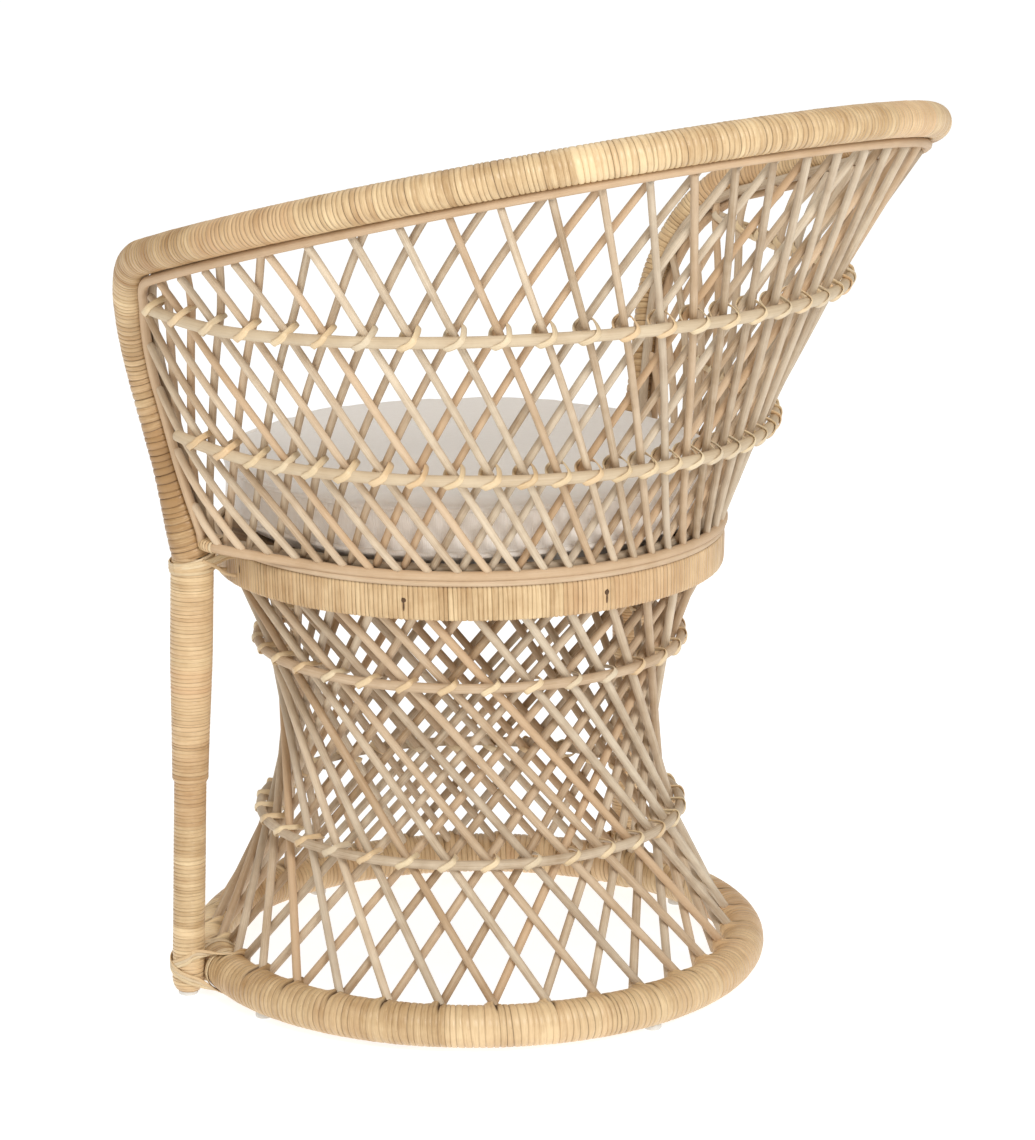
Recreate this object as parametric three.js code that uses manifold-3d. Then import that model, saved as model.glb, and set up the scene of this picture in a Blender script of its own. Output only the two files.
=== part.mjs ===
// Rattan tub chair: hourglass base of crossed rods, flared back panel of crossed rods, one bent rail, loose cushion.
// Millimetres, +Z up, front towards -Y. Heights are taken from the floor.
import * as THREE from 'three';
import { mergeVertices } from 'three/addons/utils/BufferGeometryUtils.js';
import Module from 'manifold-3d';

const wasm = await Module();
wasm.setup();

// Sides and steps of the round pieces
const ROD_SIDES = 5;
const HOOP_SIDES = 6;
const RAIL_SIDES = 10;
const LEG_SIDES = 14;
const GLIDE_SIDES = 12;
const BASE_RING_SIDES = 10;
const SEAT_POLE_SIDES = 8;
const LASHING_SIDES = 5;
const RING_STEPS = 40;
const CUSHION_STEPS = 36;
const POST_STEPS = 4;
const CORNER_STEPS = 7;
const RIM_STEPS = 15;
const BACK_HOOP_STEPS = 28;
const SEAT_EDGE_STEPS = 26;

// Gap left between two pieces that touch
const FIT = 0.3;

// Floor glides
const RING_GLIDE_HEIGHT = 4;
const LEG_GLIDE_HEIGHT = 7;
const LEG_GLIDE_RADIUS = 9;
const RING_GLIDE_RADIUS = 8;
const RING_GLIDE_BLANK = 12;
const RING_GLIDE_NAMES = ['back', 'right', 'front', 'left'];

// Base ring, a cane-wrapped pole bent to a circle
const BASE_RING_OUTER = 250;
const BASE_RING_TUBE = 17.7;
const BASE_RING_RADIUS = BASE_RING_OUTER - BASE_RING_TUBE;
const BASE_RING_HEIGHT = RING_GLIDE_HEIGHT + BASE_RING_TUBE;

// Seat ring, its wrapped band and the seat deck; the seat's axis stands a little forward of the base ring
const SEAT_CENTRE_Y = -9;
const SEAT_POLE_RADIUS = 202;
const SEAT_POLE_TUBE = 11;
const SEAT_POLE_HEIGHT = 378;
const SEAT_BAND_INNER = SEAT_POLE_RADIUS + SEAT_POLE_TUBE + FIT;
const SEAT_BAND_THICKNESS = 4.7;
const SEAT_BAND_OUTER = SEAT_BAND_INNER + SEAT_BAND_THICKNESS;
const SEAT_BAND_DROP = 16;
const SEAT_BAND_RISE = 17;
const SEAT_BAND_LOW = SEAT_POLE_HEIGHT - SEAT_BAND_DROP;
const SEAT_BAND_TOP = SEAT_POLE_HEIGHT + SEAT_BAND_RISE;
const SEAT_BAND_EDGE = 1.2;
const SEAT_DECK_MARGIN = 4;
const SEAT_DECK_RADIUS = SEAT_BAND_INNER - SEAT_DECK_MARGIN;
const SEAT_DECK_THICKNESS = 7;
const SEAT_DECK_EDGE = 2;
const SEAT_DECK_LOW = SEAT_POLE_HEIGHT + SEAT_POLE_TUBE + FIT;
const SEAT_DECK_TOP = SEAT_DECK_LOW + SEAT_DECK_THICKNESS;

// Hourglass of straight rods, two crossed layers about the seat's axis
const BASE_RODS = 32;
const BASE_ROD_RADIUS = 3.8;
const LAYER_GAP = 0.4;
const OUTER_WAIST = 160.8;
const INNER_WAIST = OUTER_WAIST - 2 * BASE_ROD_RADIUS - LAYER_GAP;
const OUTER_ROD_SET_IN = 14.7;
const INNER_ROD_SET_IN = 11.7;
const OUTER_ROD_OVERRUN = 1;
const INNER_ROD_SHORT = 2;
const OUTER_HEAD_GAP = 0.6;
const OUTER_ROD_FOOT = BASE_RING_HEIGHT + BASE_RING_TUBE - OUTER_ROD_SET_IN;
const INNER_ROD_FOOT = BASE_RING_HEIGHT + BASE_RING_TUBE - INNER_ROD_SET_IN;
const OUTER_ROD_HEAD = SEAT_POLE_HEIGHT - SEAT_POLE_TUBE + OUTER_ROD_OVERRUN;
const INNER_ROD_HEAD = SEAT_POLE_HEIGHT - INNER_ROD_SHORT;

// The outer rods end in the base ring and just outside the seat ring, which sets their lean and the waist's height;
// the inner rods end in the seat ring
const OUTER_FOOT_TRAVEL = Math.sqrt(BASE_RING_RADIUS ** 2 - OUTER_WAIST ** 2);
const OUTER_HEAD_RADIUS = SEAT_POLE_RADIUS + BASE_ROD_RADIUS + OUTER_HEAD_GAP;
const OUTER_HEAD_TRAVEL = Math.sqrt(OUTER_HEAD_RADIUS ** 2 - OUTER_WAIST ** 2);
const OUTER_LEAN = (OUTER_FOOT_TRAVEL + OUTER_HEAD_TRAVEL) / (OUTER_ROD_HEAD - OUTER_ROD_FOOT);
const WAIST_HEIGHT = OUTER_ROD_FOOT + OUTER_FOOT_TRAVEL / OUTER_LEAN;
const INNER_HEAD_TRAVEL = Math.sqrt(SEAT_POLE_RADIUS ** 2 - INNER_WAIST ** 2);
const INNER_LEAN = INNER_HEAD_TRAVEL / (INNER_ROD_HEAD - WAIST_HEIGHT);

// Waist hoops, tied outside the rods where the layers cross
const WAIST_HOOP_RADIUS = 4.2;
const CROSSINGS_TO_HOOP = 4;

// Cushion
const CUSHION_RADIUS = 195;
const CUSHION_THICKNESS = 53;
const CUSHION_CROWN = 8;
const CUSHION_SAG_IN = 3.5;
const CUSHION_PIPING = 3.2;
const CUSHION_LOW_LIFT = 3;
const CUSHION_TOP_DROP = 1;
const CUSHION_FLAT = 0.6;
const CUSHION_LOW_EDGE = 10;

// Rail: rim, two rounded corners and two posts as one bent pole
const RIM_HALF_WIDTH = 335.2;
const RIM_HALF_DEPTH = 342.8;
const RIM_CENTRE_Y = 62;
const RIM_HEIGHT = 662.8;
const RIM_RISE = 0.281;
const RIM_END_ANGLE = 1.809;
const RIM_CORNER_ANGLE = 2.07;
const RIM_TUBE = 14.4;
const POST_TUBE = 11.2;
const POST_FOOT_TUBE = 15.5;
const CORNER_PULL = 49;
const POST_SET_IN = 49.2;
const POST_SET_FORWARD = 71.4;
const POST_DROP = 122.5;
const POST_FOOT_OUT = 35.3;
const POST_FOOT_RISE = 12;
const POST_FOOT_ANGLE = 74.9 * Math.PI / 180;
const POST_SWELL = 55;
const POST_FACE_TURN = -0.3;

// Legs, straight and thicker where the rail is spliced on
const LEG_TUBE = 13.8;
const LEG_TOP_TUBE = 17.2;
const LEG_STEP_HEIGHT = SEAT_POLE_HEIGHT / 2;
const LEG_STEP_LENGTH = 12;
const LEG_ANGLE = 70.5 * Math.PI / 180;
const LEG_SET_IN = 1.2;

// Cane lashings round the legs
const LASHING_TUBE = 1.7;
const LASHING_GAP = 0.7;
const LASHING_WRAP = 1.95;
const LASHING_STEPS = 10;
const LASHING_HALF_HEIGHT = 15;
const FOOT_LASHING_HEIGHT = 27;
const SEAT_LASHING_DROP = 10;
const SEAT_LASHING_HEIGHT = SEAT_POLE_HEIGHT - SEAT_LASHING_DROP;
const NEIGHBOUR_TUBES = 12;

// Back panel: two crossed layers of rods, each ending in its own edging rod
const PANEL_RODS = 34;
const SPREAD = 0.016;
const PANEL_ROD_RADIUS = 3.75;
const EDGING_RADIUS = 3.9;
const LAYER_OFFSET = 4.3;
const EDGING_OFFSET = 4.3;
const PANEL_LOW_RADIUS = 212;
const PANEL_SEAT_LIFT = 1.5;
const PANEL_LOW_HEIGHT = SEAT_BAND_TOP + FIT + EDGING_RADIUS + PANEL_SEAT_LIFT;
// Hoop lines, as shares of the way from the seat line to the rim, and their slope towards the back
const LOW_HOOP = { climb: 0.3579, widen: 0.2922, deepen: 0.26, shift: 0.0423, rise: -0.01 };
const HIGH_HOOP = { climb: 0.7814, widen: 0.5844, deepen: 0.4587, shift: 0.6338, rise: 0.053 };
const BACK_HOOP_RADIUS = 4.8;
const HOOP_END = 0.9;
const HOOP_GAP = 0.7;
const HOOP_ROWS = 4;
const RIM_ROWS = 3.5;
const PANEL_LEVELS = [0, HOOP_ROWS, 2 * HOOP_ROWS];
const BEND_LEVELS = [2, 4, 6, 8];
const END_SPAN = 0.5;
const WALK_STEP = 0.125;
const SHORTEST_RUN = 6;
const SIDE_RODS = 6;
const EDGE_REACH = 6;
const RAIL_MARGIN = 1;
const EDGE_BLEND_STARTS = [0.75, 0.7, 0.6];
const AIM_LIMIT = 0.95;
const SURFACE_WALK = 6;
const CORNER_TURNS = 6;

// Colours
const CANE = 0xd9b67c;
const ROD = 0xc9a67a;
const PALE_ROD = 0xd8bd92;
const LINEN = 0xd6cfc8;
const PLASTIC = 0xe6e3dc;

const UP = new THREE.Vector3(0, 0, 1);
const group = new THREE.Group();
group.name = 'rattan_tub_chair';

function vec(x, y, z) {
  return new THREE.Vector3(x, y, z);
}

function mirrored(point) {
  return vec(-point.x, point.y, point.z);
}

function smooth(t) {
  const s = Math.min(Math.max(t, 0), 1);
  return s * s * (3 - 2 * s);
}

// Part of a vector square to a direction, made unit length
function squareTo(vector, direction) {
  return vector.clone().addScaledVector(direction, -vector.dot(direction)).normalize();
}

// Direction of travel at each point of a line
function tangentsOf(points, ring) {
  const count = points.length;
  return points.map((point, i) => {
    const before = points[ring ? (i - 1 + count) % count : Math.max(i - 1, 0)];
    const after = points[ring ? (i + 1) % count : Math.min(i + 1, count - 1)];
    return after.clone().sub(before).normalize();
  });
}

// Closed tube along points. radius: number or one per point. aim: one vector per point that sets the first corner.
// ring joins the ends; upright keeps every section level.
function tube(points, radius, sides, { aim = null, ring = false, upright = false } = {}) {
  const count = points.length;
  const tangents = tangentsOf(points, ring);
  const positions = [];
  const index = [];
  for (let i = 0; i < count; i += 1) {
    const along = upright ? UP : tangents[i];
    const side = squareTo(aim ? aim[i] : vec(1, 0, 0), along);
    const across = along.clone().cross(side);
    const r = Array.isArray(radius) ? radius[i] : radius;
    for (let j = 0; j < sides; j += 1) {
      const turn = 2 * Math.PI * j / sides;
      const corner = points[i].clone().addScaledVector(side, r * Math.cos(turn)).addScaledVector(across, r * Math.sin(turn));
      positions.push(corner.x, corner.y, corner.z);
    }
  }
  const spans = ring ? count : count - 1;
  for (let i = 0; i < spans; i += 1) {
    const next = (i + 1) % count;
    for (let j = 0; j < sides; j += 1) {
      const k = (j + 1) % sides;
      index.push(i * sides + j, i * sides + k, next * sides + k);
      index.push(i * sides + j, next * sides + k, next * sides + j);
    }
  }
  if (!ring) {
    const last = (count - 1) * sides;
    for (let j = 1; j < sides - 1; j += 1) {
      index.push(0, j + 1, j);
      index.push(last, last + j, last + j + 1);
    }
  }
  const geometry = new THREE.BufferGeometry();
  geometry.setAttribute('position', new THREE.Float32BufferAttribute(positions, 3));
  geometry.setIndex(index);
  return geometry;
}

// Level circle of points about an upright axis in the middle plane
function circle(radius, height, centreY) {
  const points = [];
  for (let i = 0; i < RING_STEPS; i += 1) {
    const turn = 2 * Math.PI * i / RING_STEPS;
    points.push(vec(radius * Math.cos(turn), centreY + radius * Math.sin(turn), height));
  }
  return points;
}

function hoop(radius, height, tubeRadius, sides, centreY) {
  const points = circle(radius, height, centreY);
  return tube(points, tubeRadius, sides, { aim: points.map(() => UP), ring: true });
}

// Turned solid about the seat axis from [radius, height] pairs
function turned(profile, steps) {
  const points = profile.map(([radius, height]) => new THREE.Vector2(radius, height));
  const geometry = new THREE.LatheGeometry(points, steps);
  geometry.rotateX(Math.PI / 2);
  geometry.translate(0, SEAT_CENTRE_Y, 0);
  return geometry;
}

// Mesh to solid and back
function solid(geometry) {
  const bare = geometry.clone();
  bare.deleteAttribute('normal');
  bare.deleteAttribute('uv');
  const merged = mergeVertices(bare, 1e-4);
  return new wasm.Manifold(new wasm.Mesh({
    numProp: 3,
    vertProperties: new Float32Array(merged.attributes.position.array),
    triVerts: new Uint32Array(merged.index.array),
  }));
}

function toGeometry(body) {
  const mesh = body.getMesh();
  const geometry = new THREE.BufferGeometry();
  geometry.setAttribute('position', new THREE.BufferAttribute(new Float32Array(mesh.vertProperties), 3));
  geometry.setIndex(new THREE.BufferAttribute(new Uint32Array(mesh.triVerts), 1));
  return geometry;
}

function joined(bodies) {
  return bodies.reduce((sum, body) => sum.add(body));
}

function piece(name, geometry, color, roughness) {
  geometry.deleteAttribute('uv');
  geometry.computeVertexNormals();
  const material = new THREE.MeshStandardMaterial({ color, roughness, metalness: 0 });
  const mesh = new THREE.Mesh(geometry, material);
  mesh.name = name;
  group.add(mesh);
}

// Base rods: straight lines that lean round the waist. turn is +1 or -1.
function baseRodPoint(waist, lean, angle, turn, height) {
  const travel = turn * lean * (height - WAIST_HEIGHT);
  const c = Math.cos(angle);
  const s = Math.sin(angle);
  return vec(waist * c - travel * s, SEAT_CENTRE_Y + waist * s + travel * c, height);
}

function baseRods(waist, lean, turn, low, high) {
  const rods = [];
  for (let i = 0; i < BASE_RODS; i += 1) {
    const angle = 2 * Math.PI * i / BASE_RODS;
    const ends = [low, high].map((height) => baseRodPoint(waist, lean, angle, turn, height));
    const outward = vec(Math.cos(angle), Math.sin(angle), 0);
    rods.push(solid(tube(ends, BASE_ROD_RADIUS, ROD_SIDES, { aim: [outward, outward] })));
  }
  return rods;
}

// Height above and below the waist at which the two layers cross on the hoops
function hoopOffset() {
  const p = OUTER_LEAN / OUTER_WAIST;
  const q = INNER_LEAN / INNER_WAIST;
  const t = Math.tan(CROSSINGS_TO_HOOP * 2 * Math.PI / BASE_RODS);
  return (Math.sqrt((p + q) ** 2 + 4 * p * q * t * t) - p - q) / (2 * p * q * t);
}

const baseRing = solid(hoop(BASE_RING_RADIUS, BASE_RING_HEIGHT, BASE_RING_TUBE, BASE_RING_SIDES, 0));
const baseRingRoom = solid(hoop(BASE_RING_RADIUS, BASE_RING_HEIGHT, BASE_RING_TUBE + FIT, BASE_RING_SIDES, 0));
const seatPole = solid(hoop(SEAT_POLE_RADIUS, SEAT_POLE_HEIGHT, SEAT_POLE_TUBE, SEAT_POLE_SIDES, SEAT_CENTRE_Y));
const seatPoleRoom = solid(hoop(SEAT_POLE_RADIUS, SEAT_POLE_HEIGHT, SEAT_POLE_TUBE + FIT, SEAT_POLE_SIDES, SEAT_CENTRE_Y));
const outerRods = joined([baseRing, ...baseRods(OUTER_WAIST, OUTER_LEAN, -1, OUTER_ROD_FOOT, OUTER_ROD_HEAD)]);
piece('base_ring_outer_rods', toGeometry(outerRods.subtract(seatPoleRoom)), CANE, 0.55);
const innerRods = joined([seatPole, ...baseRods(INNER_WAIST, INNER_LEAN, 1, INNER_ROD_FOOT, INNER_ROD_HEAD)]);
piece('seat_ring_inner_rods', toGeometry(innerRods.subtract(baseRingRoom)), ROD, 0.6);

const hoopRise = hoopOffset();
const hoopSlope = OUTER_LEAN ** 2 * hoopRise / Math.hypot(OUTER_WAIST, OUTER_LEAN * hoopRise);
const hoopReach = (BASE_ROD_RADIUS + WAIST_HOOP_RADIUS + FIT) * Math.hypot(1, hoopSlope);
const waistHoopRadius = Math.hypot(OUTER_WAIST, OUTER_LEAN * hoopRise) + hoopReach;
function waistHoop(height) {
  return hoop(waistHoopRadius, height, WAIST_HOOP_RADIUS, HOOP_SIDES, SEAT_CENTRE_Y);
}
piece('waist_hoop_lower', waistHoop(WAIST_HEIGHT - hoopRise), ROD, 0.6);
piece('waist_hoop_upper', waistHoop(WAIST_HEIGHT + hoopRise), ROD, 0.6);

// Wrapped band round the seat ring
piece('seat_band', turned([
  [SEAT_BAND_INNER, SEAT_BAND_LOW],
  [SEAT_BAND_OUTER - SEAT_BAND_EDGE, SEAT_BAND_LOW],
  [SEAT_BAND_OUTER, SEAT_BAND_LOW + SEAT_BAND_EDGE],
  [SEAT_BAND_OUTER, SEAT_BAND_TOP - SEAT_BAND_EDGE],
  [SEAT_BAND_OUTER - SEAT_BAND_EDGE, SEAT_BAND_TOP],
  [SEAT_BAND_INNER, SEAT_BAND_TOP],
  [SEAT_BAND_INNER, SEAT_BAND_LOW],
], RING_STEPS), CANE, 0.5);

piece('seat_deck', turned([
  [0, SEAT_DECK_LOW],
  [SEAT_DECK_RADIUS - SEAT_DECK_EDGE, SEAT_DECK_LOW],
  [SEAT_DECK_RADIUS, SEAT_DECK_LOW + SEAT_DECK_EDGE],
  [SEAT_DECK_RADIUS, SEAT_DECK_TOP - SEAT_DECK_EDGE],
  [SEAT_DECK_RADIUS - SEAT_DECK_EDGE, SEAT_DECK_TOP],
  [0, SEAT_DECK_TOP],
], RING_STEPS), ROD, 0.65);

// Cushion with a crown, piped edges and sides drawn in between them
const cushionLow = SEAT_DECK_TOP + FIT;
const cushionTop = cushionLow + CUSHION_THICKNESS;
function cushionProfile() {
  const body = CUSHION_RADIUS - CUSHION_PIPING;
  const lowPipe = cushionLow + CUSHION_PIPING + CUSHION_LOW_LIFT;
  const topPipe = cushionTop - CUSHION_PIPING - CUSHION_TOP_DROP;
  const profile = [[0, cushionLow], [body * CUSHION_FLAT, cushionLow], [body - CUSHION_LOW_EDGE, cushionLow + FIT]];
  const pipe = (height, degrees) => {
    for (const turn of degrees) {
      const angle = turn * Math.PI / 180;
      profile.push([body + CUSHION_PIPING * Math.cos(angle), height + CUSHION_PIPING * Math.sin(angle)]);
    }
  };
  pipe(lowPipe, [-60, -15, 30, 75]);
  for (const share of [0.25, 0.5, 0.75]) {
    const drawn = CUSHION_SAG_IN * Math.sin(Math.PI * share);
    profile.push([body - drawn, lowPipe + (topPipe - lowPipe) * share]);
  }
  pipe(topPipe, [-75, -30, 15, 60]);
  for (const share of [0.95, 0.85, 0.7, 0.5, 0.25]) {
    profile.push([body * share, cushionTop + CUSHION_CROWN * (1 - share ** 4)]);
  }
  profile.push([0, cushionTop + CUSHION_CROWN]);
  return profile;
}
piece('seat_cushion', turned(cushionProfile(), CUSHION_STEPS), LINEN, 0.95);

// Rail line
function rimPoint(angle) {
  const y = RIM_CENTRE_Y + RIM_HALF_DEPTH * Math.cos(angle);
  return vec(RIM_HALF_WIDTH * Math.sin(angle), y, RIM_HEIGHT + RIM_RISE * y);
}

function rimTangent(angle) {
  return rimPoint(angle + 0.001).sub(rimPoint(angle - 0.001)).normalize();
}

// Straight post, from beside the seat ring to below the end of the rim
const rimEnd = rimPoint(RIM_END_ANGLE);
const postTop = vec(rimEnd.x - POST_SET_IN, rimEnd.y - POST_SET_FORWARD, rimEnd.z - POST_DROP);
const postFootReach = SEAT_BAND_OUTER + POST_FOOT_OUT;
const postFoot = vec(
  postFootReach * Math.sin(POST_FOOT_ANGLE),
  SEAT_CENTRE_Y - postFootReach * Math.cos(POST_FOOT_ANGLE),
  SEAT_POLE_HEIGHT + POST_FOOT_RISE,
);
const postLine = postTop.clone().sub(postFoot).normalize();

// The post swells towards its foot, where it is spliced to the leg
function postTube(height) {
  return POST_TUBE + (POST_FOOT_TUBE - POST_TUBE) * smooth(1 - (height - postFoot.z) / POST_SWELL);
}

// Left half of the rail from the post foot to the middle of the rim, as { point, tube, angle, corner }
function railHalf() {
  const stations = [];
  for (let i = 0; i < POST_STEPS; i += 1) {
    const point = postFoot.clone().lerp(postTop, i / POST_STEPS);
    stations.push({ point, tube: postTube(point.z), angle: null, corner: null });
  }
  const pullOut = rimEnd.clone().addScaledVector(rimTangent(RIM_END_ANGLE), CORNER_PULL);
  const pullUp = postTop.clone().addScaledVector(postLine, CORNER_PULL);
  const corner = new THREE.CubicBezierCurve3(postTop, pullUp, pullOut, rimEnd);
  for (let i = 0; i < CORNER_STEPS; i += 1) {
    const share = i / CORNER_STEPS;
    const swell = POST_TUBE + (RIM_TUBE - POST_TUBE) * smooth(share);
    stations.push({ point: corner.getPoint(share), tube: swell, angle: null, corner: share });
  }
  for (let i = 0; i <= RIM_STEPS; i += 1) {
    const angle = RIM_END_ANGLE * (1 - i / RIM_STEPS);
    stations.push({ point: rimPoint(angle), tube: RIM_TUBE, angle, corner: null });
  }
  return stations;
}

// Level rings of the panel before they are drawn out to the posts
function ringPoint(ring, angle) {
  const y = ring.centreY + ring.halfDepth * Math.cos(angle);
  return vec(ring.halfWidth * Math.sin(angle), y, ring.height + ring.rise * y);
}

function hoopLine({ climb, widen, deepen, shift, rise }) {
  return {
    halfWidth: PANEL_LOW_RADIUS + widen * (RIM_HALF_WIDTH - PANEL_LOW_RADIUS),
    halfDepth: PANEL_LOW_RADIUS + deepen * (RIM_HALF_DEPTH - PANEL_LOW_RADIUS),
    centreY: SEAT_CENTRE_Y + shift * (RIM_CENTRE_Y - SEAT_CENTRE_Y),
    height: PANEL_LOW_HEIGHT + climb * (RIM_HEIGHT - PANEL_LOW_HEIGHT),
    rise,
  };
}

const SEAT_LINE = { climb: 0, widen: 0, deepen: 0, shift: 0, rise: 0 };
const levelRings = [SEAT_LINE, LOW_HOOP, HIGH_HOOP].map(hoopLine);

// Distance from the rail line to the line midway between the two edging rods
function edgeReach(railTube) {
  return Math.sqrt((railTube + EDGING_RADIUS + FIT) ** 2 - EDGING_OFFSET ** 2);
}

// Side edge of the panel beside the left post
const postInward = squareTo(vec(Math.sin(POST_FACE_TURN), Math.cos(POST_FACE_TURN), 0), postLine);

function sideEdge(height) {
  const point = postFoot.clone().addScaledVector(postLine, (height - postFoot.z) / postLine.z);
  return point.addScaledVector(postInward, edgeReach(postTube(height)));
}

// Each level ring is drawn out near the posts so that it ends on the side edge
const drawnRings = levelRings.map((ring) => {
  const edge = sideEdge(ring.height);
  const endAngle = Math.atan2(edge.x / ring.halfWidth, (edge.y - ring.centreY) / ring.halfDepth);
  return { ring, endAngle, draw: edge.sub(ringPoint(ring, endAngle)) };
});

function levelPoint(level, u) {
  const { ring, endAngle, draw } = drawnRings[level];
  const start = EDGE_BLEND_STARTS[level];
  const share = smooth((Math.abs(u) - start) / (1 - start));
  const side = Math.sign(u) || 1;
  return ringPoint(ring, u * endAngle).add(vec(side * draw.x, draw.y, draw.z).multiplyScalar(share));
}

// Top edge of the panel below the rim, carried on past the rounded corner; it faces the upper hoop
const highHoop = drawnRings.length - 1;
function rimInward(angle) {
  const u = Math.sign(angle) * Math.min(Math.abs(angle) / RIM_CORNER_ANGLE, AIM_LIMIT);
  return squareTo(levelPoint(highHoop, u).sub(rimPoint(angle)), rimTangent(angle));
}

function topEdge(angle) {
  return rimPoint(angle).addScaledVector(rimInward(angle), edgeReach(RIM_TUBE));
}

// Rows of crossings between the upper hoop and the rim, fewer where the rim is lower
const highLevel = PANEL_LEVELS[PANEL_LEVELS.length - 1];
function rimClimb(u) {
  return topEdge(u * RIM_CORNER_ANGLE).z - levelPoint(highHoop, u).z;
}

const backClimb = rimClimb(0);
function rimRows(u) {
  return RIM_ROWS * rimClimb(u) / backClimb;
}

// Middle surface of the panel: u runs -1 to 1 from post to post, w counts the rows of crossings up from the seat.
// One curve runs over the seat line and the hoops; another carries it on to the rim.
function panelPoint(u, w) {
  const [low, middle, high] = drawnRings.map((drawn, level) => levelPoint(level, u));
  const leave = high.clone().multiplyScalar(3).addScaledVector(middle, -4).add(low).divideScalar(2 * HOOP_ROWS);
  if (w > highLevel) {
    const rows = rimRows(u);
    const share = (w - highLevel) / rows;
    const rise = topEdge(u * RIM_CORNER_ANGLE).sub(high).addScaledVector(leave, -rows);
    return high.addScaledVector(leave, rows * share).addScaledVector(rise, share * share);
  }
  const step = w / HOOP_ROWS;
  const sum = low.multiplyScalar((step - 1) * (step - 2) / 2);
  return sum.addScaledVector(middle, step * (2 - step)).addScaledVector(high, step * (step - 1) / 2);
}

function panelSlopes(u, w) {
  const step = 0.005;
  const alongU = panelPoint(u + step, w).sub(panelPoint(u - step, w)).divideScalar(2 * step);
  const alongW = panelPoint(u, w + step).sub(panelPoint(u, w - step)).divideScalar(2 * step);
  return { alongU, alongW, out: alongW.clone().cross(alongU).normalize() };
}

function panelOut(u, w) {
  return panelSlopes(u, w).out;
}

// Closest place on the middle surface, walked from a first guess
function nearestOnPanel(point, guess) {
  let { u, w } = guess;
  for (let i = 0; i < SURFACE_WALK; i += 1) {
    const { alongU, alongW } = panelSlopes(u, w);
    const miss = point.clone().sub(panelPoint(u, w));
    const uu = alongU.dot(alongU);
    const ww = alongW.dot(alongW);
    const uw = alongU.dot(alongW);
    const det = uu * ww - uw * uw;
    u += (ww * miss.dot(alongU) - uw * miss.dot(alongW)) / det;
    w += (uu * miss.dot(alongW) - uw * miss.dot(alongU)) / det;
  }
  return { u, w };
}

// Edge of the panel beside each station of the left rail: middle of the two edging rods and the way out of the
// panel. Round the corner the edge is turned about the rail until it lies on the middle surface.
function leftEdges(stations, tangents) {
  let place = { u: 1, w: 0 };
  const first = stations.findIndex((station) => station.corner !== null);
  return stations.map((station, i) => {
    let inward = station.angle === null ? postInward : rimInward(station.angle);
    if (station.corner !== null) {
      inward = postInward.clone().lerp(rimInward(RIM_END_ANGLE), station.corner);
    }
    inward = squareTo(inward, tangents[i]);
    const reach = edgeReach(station.tube);
    const turns = i >= first && station.angle === null ? CORNER_TURNS : 0;
    for (let k = 0; k < turns; k += 1) {
      const point = station.point.clone().addScaledVector(inward, reach);
      place = nearestOnPanel(point, place);
      const out = panelOut(place.u, place.w);
      const above = point.sub(panelPoint(place.u, place.w)).dot(out);
      inward = squareTo(inward.addScaledVector(out, -above / reach), tangents[i]);
    }
    if (turns === 0) {
      place = nearestOnPanel(station.point.clone().addScaledVector(inward, reach), place);
    }
    const out = inward.clone().cross(tangents[i]).normalize();
    return { point: station.point.clone().addScaledVector(inward, reach), out };
  });
}

const leftRail = railHalf();
const rail = [...leftRail, ...leftRail.slice(0, -1).reverse().map((station) => ({
  point: mirrored(station.point), tube: station.tube,
}))];
const railPoints = rail.map((station) => station.point);
const railTubes = rail.map((station) => station.tube);
const railTangents = tangentsOf(railPoints, false);
const halfEdges = leftEdges(leftRail, railTangents);
const railEdges = [...halfEdges, ...halfEdges.slice(0, -1).reverse().map((edge) => ({
  point: mirrored(edge.point), out: mirrored(edge.out),
}))];
const railAim = railEdges.map((edge) => edge.out);
piece('rim_rail', tube(railPoints, railTubes, RAIL_SIDES, { aim: railAim }), CANE, 0.5);

// The rail with room round it and below its feet
const roomPoints = railPoints.map((point) => point.clone());
roomPoints[0].addScaledVector(postLine, -FIT);
roomPoints[roomPoints.length - 1].addScaledVector(mirrored(postLine), -FIT);
const railRoom = solid(tube(roomPoints, railTubes.map((r) => r + FIT), RAIL_SIDES, { aim: railAim }));

// Closed edging line round the panel: up one post, over the rim, down the other post, back along the seat
function edgingLine(offset) {
  const line = [];
  const lowest = PANEL_LOW_HEIGHT + EDGING_RADIUS;
  for (const edge of railEdges) {
    if (edge.point.z > lowest) {
      line.push({ point: edge.point.clone().addScaledVector(edge.out, offset), out: edge.out });
    }
  }
  for (let i = 0; i <= SEAT_EDGE_STEPS; i += 1) {
    const u = -1 + 2 * i / SEAT_EDGE_STEPS;
    const out = panelOut(u, 0);
    line.push({ point: panelPoint(u, 0).addScaledVector(out, offset), out });
  }
  return line;
}

// Closest point on a line of stations
function nearestOn(line, point, closed) {
  const best = { distance: Infinity, point: null, station: null };
  const segment = new THREE.Line3();
  const found = new THREE.Vector3();
  const last = closed ? line.length : line.length - 1;
  for (let i = 0; i < last; i += 1) {
    segment.set(line[i].point, line[(i + 1) % line.length].point);
    segment.closestPointToPoint(point, true, found);
    const distance = found.distanceTo(point);
    if (distance < best.distance) {
      best.distance = distance;
      best.point = found.clone();
      best.station = line[i];
    }
  }
  return best;
}

function clearOfRail(point) {
  const near = nearestOn(rail, point, false);
  return near.distance > near.station.tube + PANEL_ROD_RADIUS + RAIL_MARGIN;
}

// Rods stand a little wider apart halfway round each side than at the back and beside the posts
function spread(share) {
  return share - SPREAD * Math.sin(2 * Math.PI * share);
}

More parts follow.
